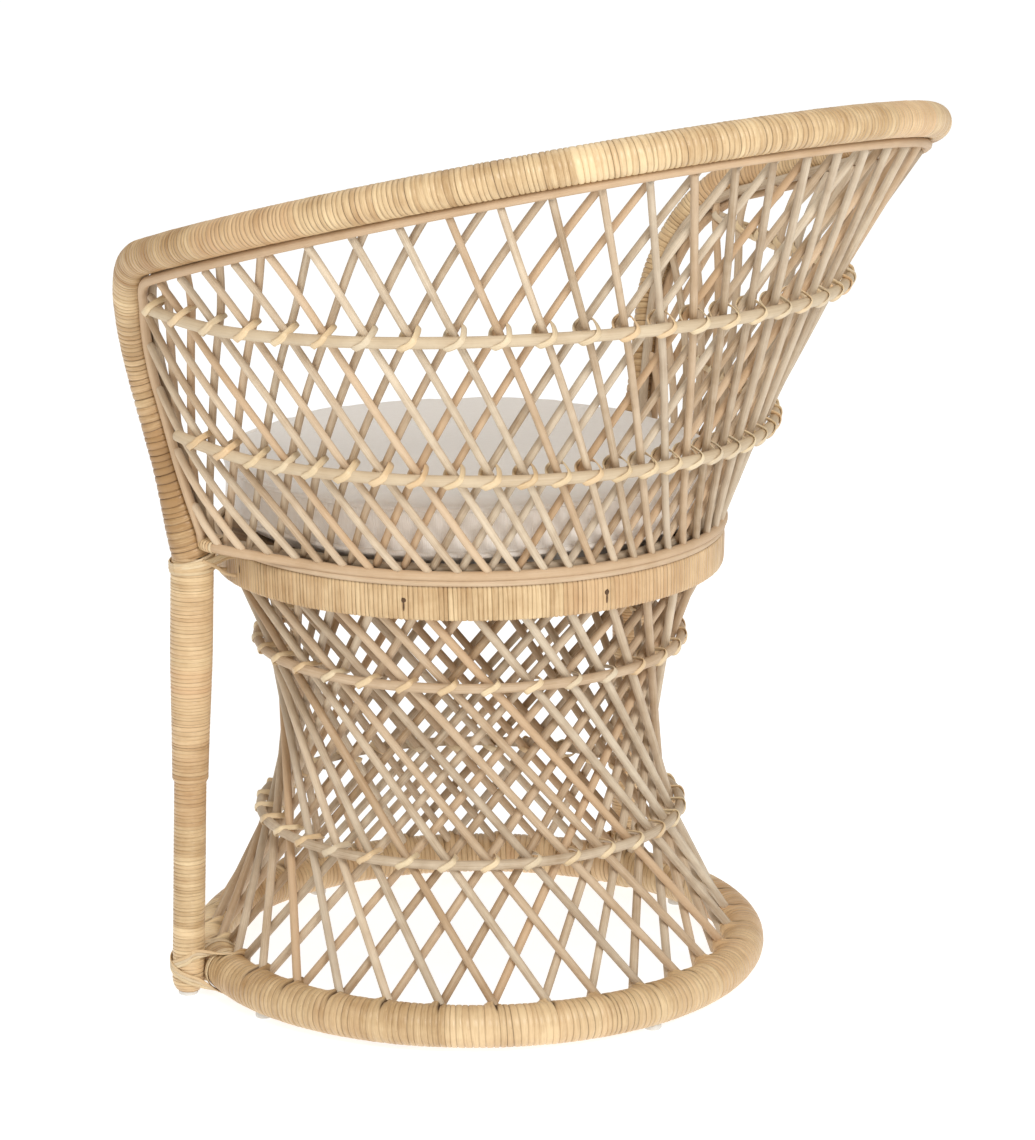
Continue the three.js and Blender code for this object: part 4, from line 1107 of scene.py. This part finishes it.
def back_ties(name, w, number):
    pile, rng = Pile(), stream(number)
    for j in range(-PANEL_RODS // 2, PANEL_RODS // 2 + 1):
        u = float(spread(2 * j / PANEL_RODS))
        if abs(u) > TIE_END:
            continue
        row = hoop_row_at(u, w)
        axes = panel_axes(u, row, -1)
        mark = rod_mark(rng, *BACK_TIE_TONE)
        knots = tie_knots(rng, BACK_TIE, BACK_HOOP_TUBE, HOOP_OUT - LAYER_OFFSET, HOOP_OUT + LAYER_OFFSET)
        centre = panel_point(u, row) + axes[1] * HOOP_OUT
        tie(pile, knots, centre, axes, rng.uniform(*BACK_TIE_WIDTH), TIE_THICKNESS, mark)
    pile.piece(name, tie_cane, "wrapped_cane")


for hoop, hoop_row, hoop_end, hoop_number in (("lower", HOOP_ROWS, 0.935, 12), ("upper", HIGH_ROW, 0.89, 14)):
    back_hoop(hoop, hoop_row, hoop_end, hoop_number)
    back_ties(f"back_ties_{hoop}", hoop_row, hoop_number + 1)

# Rail wrap, darker on the posts and a little at the corners
RIM_STRIP, POST_STRIP = 4.5, 6.2
RAIL_LOOK = (0.5, 0.6, 0.58, 0.15, 0.62)
POST_TONE, CORNER_TONE = -0.42, -0.16
# Where these tones fade, in lengths of the post from its foot
POST_RISE, POST_FADE, CORNER_FADE = 0.45, 1.5, 3.4


def rail_wrap():
    pile, rng = Pile(), stream(20)
    post_end = RAIL.run[POST_STATIONS]

    def width(s):
        return POST_STRIP if min(s, RAIL.length - s) < post_end else RIM_STRIP

    def place(s, theta, height):
        return RAIL.place(s, theta, np.interp(s, RAIL.run, rail_tubes) - WRAP_SINK + height)

    def post_shade(s, theta):
        share = np.minimum(s, RAIL.length - s) / post_end
        post = POST_TONE * smooth(POST_FADE - share) * smooth(share / POST_RISE)
        return 0.0, 0.0, post + CORNER_TONE * smooth(CORNER_FADE - share)

    marks = strip_marks(RAIL.length, width, rng)
    wound(pile, place, marks, POLE_SIDES, rng, RAIL_LOOK, TURN * RIM_TUBE, extra=post_shade)
    end_disc(pile, RAIL, 0.0, POST_FOOT_TUBE - WRAP_SINK, POLE_SIDES, -1)
    end_disc(pile, RAIL, RAIL.length, POST_FOOT_TUBE - WRAP_SINK, POLE_SIDES, 1)
    pile.piece("rail_wrap", wrap_cane, "wrapped_cane", "rim_rail")


rail_wrap()

# Legs: the step to the thicker upper half, the taper above it, the drawn-in top and the rounded toe
LEG_STRIP, LEG_STATIONS = 3.3, 160
LEG_LOOK = (0.3, 0.4, 0.58, 0.3, 0.3)
LEG_STEP, LEG_STEP_SHARE, LEG_SWELL = 4, 0.4, 130.0
LEG_DRAW, LEG_TOE, LEG_TOE_REACH = 12, 11.0, 1.45


def leg_tube(height):
    above = height - LEG_STEP_HEIGHT
    step = smooth(above / LEG_STEP) * (LEG_STEP_SHARE + (1 - LEG_STEP_SHARE) * smooth(above / LEG_SWELL))
    top = smooth((height - POST_FOOT[2] + LEG_DRAW) / LEG_DRAW)
    into_toe = ((LEG_LOW + LEG_TOE - height) / (LEG_TOE * LEG_TOE_REACH)).clip(0, 1)
    tube_radius = LEG_TUBE + (LEG_TOP_TUBE - LEG_TUBE) * step + (POST_FOOT_TUBE - LEG_TOP_TUBE) * top
    return tube_radius * np.sqrt(1 - into_toe**2)


def leg_wrap(side, mirror, number):
    pile, rng = Pile(), stream(number)
    heights = np.linspace(LEG_LOW, POST_FOOT[2], LEG_STATIONS)
    line = Line(leg_point(heights) * (mirror, 1, 1), ASIDE)

    def place(s, theta, height):
        return line.place(s, theta, leg_tube(np.interp(s, line.run, heights)) - WRAP_SINK + height)

    marks = strip_marks(line.length, lambda s: LEG_STRIP, rng)
    wound(pile, place, marks, POLE_SIDES, rng, LEG_LOOK, TURN * LEG_TUBE)
    end_disc(pile, line, 0.0, float(leg_tube(np.float64(LEG_LOW))) - WRAP_SINK, POLE_SIDES, -1)
    pile.piece(f"leg_wrap_{side}", wrap_cane, "wrapped_cane", f"leg_{side}")


# Lashings: strands laid as a cross over the leg and round what stands behind it.
# Their knots are (along, outwards, up) from the lashing's middle.
STRAND_WIDTH, STRAND_THICKNESS, LASH_STEPS = 2.9, 0.9, 150
FOOT_LASH_RISE, FOOT_LOOPS = 12.5, (-1.0, -0.78, 0.78, 1.0)
LASH_TURNS = np.radians((-105, -70, -35, 0, 35, 70, 105))
BEHIND_TURNS, LOOP_KNOTS = np.radians((72, 120, 180, 240, 288)), 8
# Room between a strand and what it lies on: over the leg, beside it, behind the ring, and for loops
OVER_ROOM, SIDE_ROOM, BEHIND_ROOM, LOOP_ROOM, LOOP_SIDE_ROOM = 0.2, 0.5, 0.4, 0.7, 1.0


def over_leg(side, shift, lift):
    """Knots and facings of a diagonal over the leg's outside."""
    rise = FOOT_LASH_RISE * LASH_TURNS / LASH_TURNS[-1] + shift
    facing = fan(LASH_TURNS, OUT, side * ASIDE)
    return facing * (LEG_TUBE + OVER_ROOM + lift) + rise[:, None] * UP, facing


def round_ring(turns, radius, at):
    """Knots and facings of a strand about the ring's tube."""
    facing = fan(turns, OUT, UP)
    return facing * radius + at, facing


def lay_strand(pile, stretches, centre, outward, mark, closed=True):
    """Lays one strand through stretches, each of them knots and facings."""
    axes = upright_axes(outward)
    local, facing = (curve(np.concatenate(part), LASH_STEPS, closed) @ axes for part in zip(*stretches))
    strip(pile, centre + local, facing, STRAND_WIDTH, STRAND_THICKNESS, mark, closed)


def foot_lashing(side, mirror, number):
    pile, rng = Pile(), stream(number)
    centre = leg_point(FOOT_LASHING_HEIGHT) * (mirror, 1, 1)
    outward = unit(centre * (1, 1, 0))
    ring = (BASE_RING_RADIUS - math.hypot(centre[0], centre[1]), BASE_RING_HEIGHT - FOOT_LASHING_HEIGHT)
    for strand in (-1, 0, 1):
        stretches = []
        for way, lift in ((1, 0.0), (-1, STRAND_THICKNESS + OVER_ROOM)):
            aside = way * (LEG_TUBE + SIDE_ROOM + (strand + 1) * STRAND_WIDTH)
            stretches.append(over_leg(way, strand * STRAND_WIDTH, lift))
            stretches.append(round_ring(BEHIND_TURNS, BASE_RING_TUBE + BEHIND_ROOM, (aside, *ring)))
        lay_strand(pile, stretches, centre, outward, rod_mark(rng))
    for share in FOOT_LOOPS:
        place = (share * (LEG_TUBE + LOOP_SIDE_ROOM), *ring)
        loop = round_ring(full_turn(LOOP_KNOTS), BASE_RING_TUBE + LOOP_ROOM, place)
        lay_strand(pile, [loop], centre, outward, rod_mark(rng, LOOP_TONE))
    pile.piece(f"foot_strands_{side}", tie_cane, "wrapped_cane", f"foot_lashing_{side}")


# Seat lashing: tilted rounds about the leg's head, and strands from it to the band
SEAT_ROUNDS, SEAT_ROUND_GAP, SEAT_ROUND_TILT, ROUND_KNOTS = 5, 2.7, 5.5, 12
# Each strand: first knot used, height at the leg and at the band, and lift over the leg
SEAT_STRANDS = ((0, -3.0, 5.0, 0.9), (0, -0.4, 7.5, 0.9), (0, 2.2, 9.5, 0.9), (2, 16.0, -12.0, 1.6))
STRAND_CLIMB = np.array((0.0, 0.15, 0.35, 0.6, 0.9, 1.0))
STRAND_ASIDE = np.array((0.3, 0.85, 1.0, 0.82, 0.6, 0.55))
STRAND_OUT = np.array((0.95, 0.53, -0.1, -0.75))
BAND_NEAR, BAND_TUCK = 8, -5
STRAND_FACING = np.array(((0.3, 0.95, 0), (0.85, 0.53, 0), (1, -0.1, 0),
                          (0.9, -0.3, 0), (0.8, 0.5, 0), (0.8, 0.5, 0)))
# Turns of cane round both edging rods beside a post
BINDING_TURNS, BINDING_STEP, BINDING_THICKNESS = 5, 0.008, 0.6
BINDING_LOOP = ((0, 9.6, 0), (0, 7.4, 4.2), (0, 0, 4.6), (0, -7.4, 4.2),
                (0, -9.6, 0), (0, -7.4, -4.2), (0, 0, -4.6), (0, 7.4, -4.2))


def seat_round(turn):
    """Knots and facings of one tilted turn round the head of the leg."""
    angle = full_turn(ROUND_KNOTS)
    facing = fan(angle, OUT, ASIDE)
    tilt = SEAT_ROUND_TILT * (1 - turn / SEAT_ROUNDS)
    rise = SEAT_ROUND_GAP * (SEAT_ROUNDS / 2 - turn) - tilt * np.cos(angle)
    return facing * (LEG_TOP_TUBE + BEHIND_ROOM) + rise[:, None] * UP, facing


def seat_strand(way, band_out, first, start, end, lift):
    """Knots and facings of a strand from the leg's outside to the band."""
    r = LEG_TOP_TUBE + lift
    out = (*(r * STRAND_OUT), band_out + BAND_NEAR, band_out + BAND_TUCK)
    knots = np.stack((way * r * STRAND_ASIDE, out, start + (end - start) * STRAND_CLIMB), -1)
    return knots[first:], (STRAND_FACING * (way, 1, 1))[first:]


def seat_lashing(side, mirror, number):
    pile, rng = Pile(), stream(number)
    centre = leg_point(SEAT_LASHING_HEIGHT) * (mirror, 1, 1)
    outward = unit((centre - SEAT_CENTRE) * (1, 1, 0))
    band_out = SEAT_BAND_OUTER - np.linalg.norm((centre - SEAT_CENTRE)[:2])
    for turn in range(SEAT_ROUNDS):
        lay_strand(pile, [seat_round(turn)], centre, outward, rod_mark(rng, SEAT_LASH_TONE))
    for way in (1, -1):
        for course in SEAT_STRANDS:
            strand = seat_strand(way, band_out, *course)
            lay_strand(pile, [strand], centre, outward, rod_mark(rng, SEAT_LASH_TONE), closed=False)
    for turn in range(BINDING_TURNS):
        u = mirror * (1.0 - BINDING_STEP * (turn + 0.5))
        tie(pile, BINDING_LOOP, panel_point(u, 0.0), panel_axes(u, 0.0, 1), STRAND_WIDTH, BINDING_THICKNESS,
            rod_mark(rng, SEAT_LASH_TONE))
    pile.piece(f"seat_strands_{side}", tie_cane, "wrapped_cane", f"seat_lashing_{side}")


for leg_side, leg_mirror, leg_number in (("left", 1, 21), ("right", -1, 24)):
    leg_wrap(leg_side, leg_mirror, leg_number)
    foot_lashing(leg_side, leg_mirror, leg_number + 1)
    seat_lashing(leg_side, leg_mirror, leg_number + 2)

# Seat deck: rods laid side by side on the seat ring, in darker cane colours that paint the shade under the
# cushion
DECK_ROD, DECK_GAP, DECK_STEPS, DECK_SIDES = 3.45, 0.25, 9, 10


def seat_deck():
    pile, rng = Pile(), stream(30)
    x = -DECK_RADIUS + 2 * DECK_ROD
    while x < DECK_RADIUS - DECK_ROD:
        half = math.sqrt(DECK_RADIUS**2 - (abs(x) + DECK_ROD) ** 2)
        middle = SEAT_CENTRE + vec(x, 0, DECK_LOW + DECK_ROD)
        points = middle + np.linspace(-half, half, DECK_STEPS)[:, None] * OUT
        tube(pile, points, DECK_ROD, DECK_SIDES, UP, rod_mark(rng, DECK_TONE))
        x += 2 * DECK_ROD + DECK_GAP
    pile.piece("seat_deck_rods", shaded_deck_cane, "rattan_rod", "seat_deck")


seat_deck()

# Loose cushion: a smaller closed form blown up as cloth, its bottom held flat on the deck
CUSHION_RADIUS, CUSHION_LOW, CUSHION_EDGE_TOP, CUSHION_CROWN = 198.0, 397.0, 455.0, 2.0
CUSHION_SWELL, CUSHION_VOXEL, CLOTH_FRAMES, CUSHION_PRESSURE = 5.5, 0.005, 20, 4.0
CUSHION_REACH, CUSHION_TOP, CUSHION_FILL, CUSHION_SIDES = 208.0, 463.0, 0.7, 96
# Its outline: shares of the radius on top and bottom, then offsets from the radius and the two edges
CUSHION_SHARES = (0.04, 0.3, 0.6, 0.84)
CUSHION_FOOT = ((-26, 0), (-15, 4), (-6, 10), (0, 18), (-1, (CUSHION_EDGE_TOP - CUSHION_LOW) / 2))
CUSHION_SHOULDER = ((0, -5), (-0.8, -1), (-4, 0.5))
# Gathers along the pipings, and hollows on the top
PIPING_TUBE, PIPING_LOW, PIPING_TOP, PIPING_STEPS = 2.4, 413.5, 452.0, 240
PIPING_MARK, PIPING_BAND = (0.5, 0.3, 0.0), 2.5
PUCKER, PUCKERS, PUCKER_TOP, PUCKER_LOW = 2.0, (23, 37, 52), 12, 14
PUCKER_FROM, REACH_PERCENTILE, PIPING_PERCENTILE, HELD_RISE = 0.8, 99.5, 85, 1.5
HOLLOW, HOLLOW_X, HOLLOW_Y, HOLLOW_BELOW, HOLLOW_FADE = 0.9, 47, 39, 4, 6
# The pipings rise and fall by two waves: size, waves in a turn and start
PIPING_WAVES = ((0.35, 5, 1.0), (0.25, 11, 0.0))


def applied(obj):
    """Mesh of an object with its modifiers applied."""
    return bpy.data.meshes.new_from_object(obj.evaluated_get(bpy.context.evaluated_depsgraph_get())).copy()


def cushion_start():
    """Plain closed form of the cushion, remeshed evenly."""
    pile = Pile()
    profile = [(CUSHION_RADIUS * share, CUSHION_LOW) for share in CUSHION_SHARES]
    profile += [(CUSHION_RADIUS + r, CUSHION_LOW + z) for r, z in CUSHION_FOOT]
    profile += [(CUSHION_RADIUS + r, CUSHION_EDGE_TOP + z) for r, z in CUSHION_SHOULDER]
    profile += [(CUSHION_RADIUS * share, CUSHION_EDGE_TOP + CUSHION_CROWN * (1 - share**2))
                for share in CUSHION_SHARES[::-1]]
    revolved(pile, SEAT_CENTRE, profile, CUSHION_SIDES)
    rough = pile.piece("cushion_rough", linen, "linen", body="cushion")
    remesh = rough.modifiers.new("even", "REMESH")
    remesh.mode = "VOXEL"
    remesh.voxel_size = CUSHION_VOXEL
    mesh = applied(rough)
    bpy.data.objects.remove(rough)
    return mesh


def mesh_points(mesh):
    flat = np.empty(len(mesh.vertices) * 3)
    mesh.vertices.foreach_get("co", flat)
    return flat.reshape(-1, 3)


def blown_up(obj, start):
    """Points of the cushion after its cloth has been filled with air, held to a small swell."""
    scene = bpy.context.scene
    held = obj.vertex_groups.new(name="held")
    held.add(np.flatnonzero(start[:, 2] < (CUSHION_LOW + HELD_RISE) * MM).tolist(), 1.0, "REPLACE")
    cloth = obj.modifiers.new("cloth", "CLOTH")
    cloth.settings.use_pressure = True
    cloth.settings.uniform_pressure_force = CUSHION_PRESSURE
    cloth.settings.vertex_group_mass = held.name
    cloth.settings.effector_weights.gravity = 0.0
    cloth.point_cache.frame_start = 1
    cloth.point_cache.frame_end = CLOTH_FRAMES
    for frame_number in range(1, CLOTH_FRAMES + 1):
        scene.frame_set(frame_number)
    swollen = mesh_points(obj.evaluated_get(bpy.context.evaluated_depsgraph_get()).data)
    obj.modifiers.remove(cloth)
    obj.vertex_groups.clear()
    scene.frame_set(1)
    move = swollen - start
    far = np.linalg.norm(move, axis=1, keepdims=True)
    return start + move * np.minimum(1.0, CUSHION_SWELL * MM / np.maximum(far, 1e-9))


def puckered(points):
    """Small gathers of the cloth along the two piped edges and soft hollows on the top."""
    local = points / MM - AXIS - SEAT_CENTRE
    x, y, z = local.T
    turn, reach = np.arctan2(y, x), np.hypot(x, y)
    wave = sum(np.sin(n * turn + n) for n in PUCKERS) / len(PUCKERS)
    near = bell(z - PIPING_TOP, PUCKER_TOP) + bell(z - PIPING_LOW, PUCKER_LOW)
    edge = smooth((reach / CUSHION_RADIUS - PUCKER_FROM) / (1 - PUCKER_FROM))
    moved = local + fan(turn, ASIDE, OUT) * (PUCKER * wave * edge * near)[:, None]
    soft = np.sin(x / HOLLOW_X + 1.0) * np.sin(y / HOLLOW_Y + 0.4)
    height = moved[:, 2] + HOLLOW * soft * smooth((z - CUSHION_EDGE_TOP + HOLLOW_BELOW) / HOLLOW_FADE)
    height = np.maximum(height, CUSHION_LOW) - CUSHION_LOW
    moved[:, 2] = CUSHION_LOW + height * (CUSHION_TOP - CUSHION_LOW) / height.max()
    moved[:, :2] *= CUSHION_REACH / np.percentile(np.hypot(moved[:, 0], moved[:, 1]), REACH_PERCENTILE)
    return (moved + AXIS + SEAT_CENTRE) * MM


def cushion():
    mesh = cushion_start()
    obj = placed("seat_cushion_cover", mesh)
    points = mesh_points(mesh)
    points = blown_up(obj, points)
    points = puckered(points)
    mesh.vertices.foreach_set("co", points.ravel())
    mesh.polygons.foreach_set("use_smooth", np.ones(len(mesh.polygons), bool))
    mesh.update()
    fine = obj.modifiers.new("fine", "SUBSURF")
    fine.levels = fine.render_levels = 1
    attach(obj, "cushion")
    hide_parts("seat_cushion")
    x, y, z = (points / MM - AXIS - SEAT_CENTRE).T
    turn = full_turn(PIPING_STEPS)
    for name, height in (("low", PIPING_LOW), ("top", PIPING_TOP)):
        pile = Pile()
        radius = np.percentile(np.hypot(x, y)[np.abs(z - height) < PIPING_BAND], PIPING_PERCENTILE)
        line = circle_points(radius, height, SEAT_CENTRE, PIPING_STEPS)
        line[:, 2] += sum(size * np.sin(waves * turn + start) for size, waves, start in PIPING_WAVES)
        tube(pile, line, PIPING_TUBE, HOOP_SIDES, UP, PIPING_MARK, closed=True)
        pile.piece(f"cushion_piping_{name}", linen, "linen", body="cushion")


cushion()

# Glides: radius and height under the legs and under the base ring
LEG_GLIDE, RING_GLIDE, GLIDE_SIDES = (8.4, 7.0), (7.4, 6.0), 36


def glide(name, centre, size, replaced):
    radius, height = size
    pile = Pile()
    profile = ((radius - 1.6, 0.0), (radius - 0.5, 0.4), (radius, 1.4), (radius - 0.2, height - 0.8),
               (radius - 0.9, height))
    revolved(pile, centre, profile, GLIDE_SIDES)
    pile.piece(name, plastic, "glide_plastic", replaced)


for glide_side, glide_mirror in (("left", 1), ("right", -1)):
    leg_place = leg_point(0.0) * (glide_mirror, 1, 0)
    glide(f"leg_plug_{glide_side}", leg_place, LEG_GLIDE, f"glide_leg_{glide_side}")
for quarter, glide_side in enumerate(("back", "right", "front", "left"), 1):
    ring_place = BASE_RING_RADIUS * heading(quarter * math.pi / 2)
    glide(f"ring_plug_{glide_side}", ring_place, RING_GLIDE, f"glide_ring_{glide_side}")


# Camera and stage
def set_pose(obj, right, above, back, place):
    rows = np.stack((right, above, back, place), -1)
    obj.matrix_world = Matrix((*rows.tolist(), (0, 0, 0, 1)))


def make_camera():
    ahead, right = heading(CAMERA_YAW + math.pi / 2), heading(CAMERA_YAW)
    forward = ahead * math.cos(CAMERA_PITCH) - UP * math.sin(CAMERA_PITCH)
    above = ahead * math.sin(CAMERA_PITCH) + UP * math.cos(CAMERA_PITCH)
    across = right * math.cos(CAMERA_ROLL) + above * math.sin(CAMERA_ROLL)
    above = above * math.cos(CAMERA_ROLL) - right * math.sin(CAMERA_ROLL)
    c, s = math.cos(CAMERA_TURN), math.sin(CAMERA_TURN)
    to_chair = np.array(((c, -s, 0), (s, c, 0), (0, 0, 1)))
    data = bpy.data.cameras.new("photo_camera")
    data.sensor_width = SENSOR
    data.lens = FOCAL_PIXELS * SENSOR / max(PHOTO_WIDTH, PHOTO_HEIGHT)
    data.clip_end = 100
    camera = placed("photo_camera", data)
    place = (to_chair @ vec(0, -CAMERA_DISTANCE, CAMERA_HEIGHT) + AXIS) * MM
    set_pose(camera, to_chair @ across, to_chair @ above, to_chair @ -forward, place)
    bpy.context.scene.camera = camera


# Lights: name, place and size in metres, power and colour; all look at one point
LIGHT_AIM = vec(0, 0, 0.4)
LIGHTS = (
    ("key", vec(1.0, 2.9, 2.3), 1.3, 66, (1.0, 1.0, 1.0)),
    ("fill", vec(2.8, 0.2, 2.6), 2.0, 17, (1.0, 0.9, 0.76)),
    ("top", vec(-0.3, -0.9, 2.6), 1.6, 7, (1.0, 1.0, 1.0)),
)
WORLD_COLOUR, WORLD_STRENGTH = (1.0, 0.99, 0.975, 1), 0.47
FLOOR_COLOUR, FLOOR_GLOW, FLOOR_HALF = (0.5, 0.5, 0.5, 1), 0.79, 12.0


def area_light(name, at, size, power, colour):
    data = bpy.data.lights.new(name, "AREA")
    data.shape = "DISK"
    data.size = size
    data.energy = power
    data.color = colour
    back = unit(at - LIGHT_AIM)
    side = unit(np.cross((0.0, 1.0, 0.001), back))
    set_pose(placed(name, data), side, np.cross(back, side), back, at)


def make_stage():
    scene = bpy.context.scene
    scene.view_settings.view_transform = "Standard"
    world = bpy.data.worlds.new("studio")
    world.use_nodes = True
    set_inputs(world.node_tree, world.node_tree.nodes["Background"], {0: WORLD_COLOUR, 1: WORLD_STRENGTH})
    scene.world = world
    material, tree, shader = new_material("pale_floor")
    set_inputs(tree, shader, {"Base Color": FLOOR_COLOUR, "Roughness": 0.9,
                              "Emission Color": (1, 1, 1, 1), "Emission Strength": FLOOR_GLOW})
    mesh = bpy.data.meshes.new("floor")
    corners = [(FLOOR_HALF * x, FLOOR_HALF * y, 0) for x, y in ((-1, -1), (1, -1), (1, 1), (-1, 1))]
    mesh.from_pydata(corners, [], [(0, 1, 2, 3)])
    mesh.materials.append(material)
    placed("floor", mesh)
    for light in LIGHTS:
        area_light(*light)


make_camera()
make_stage()
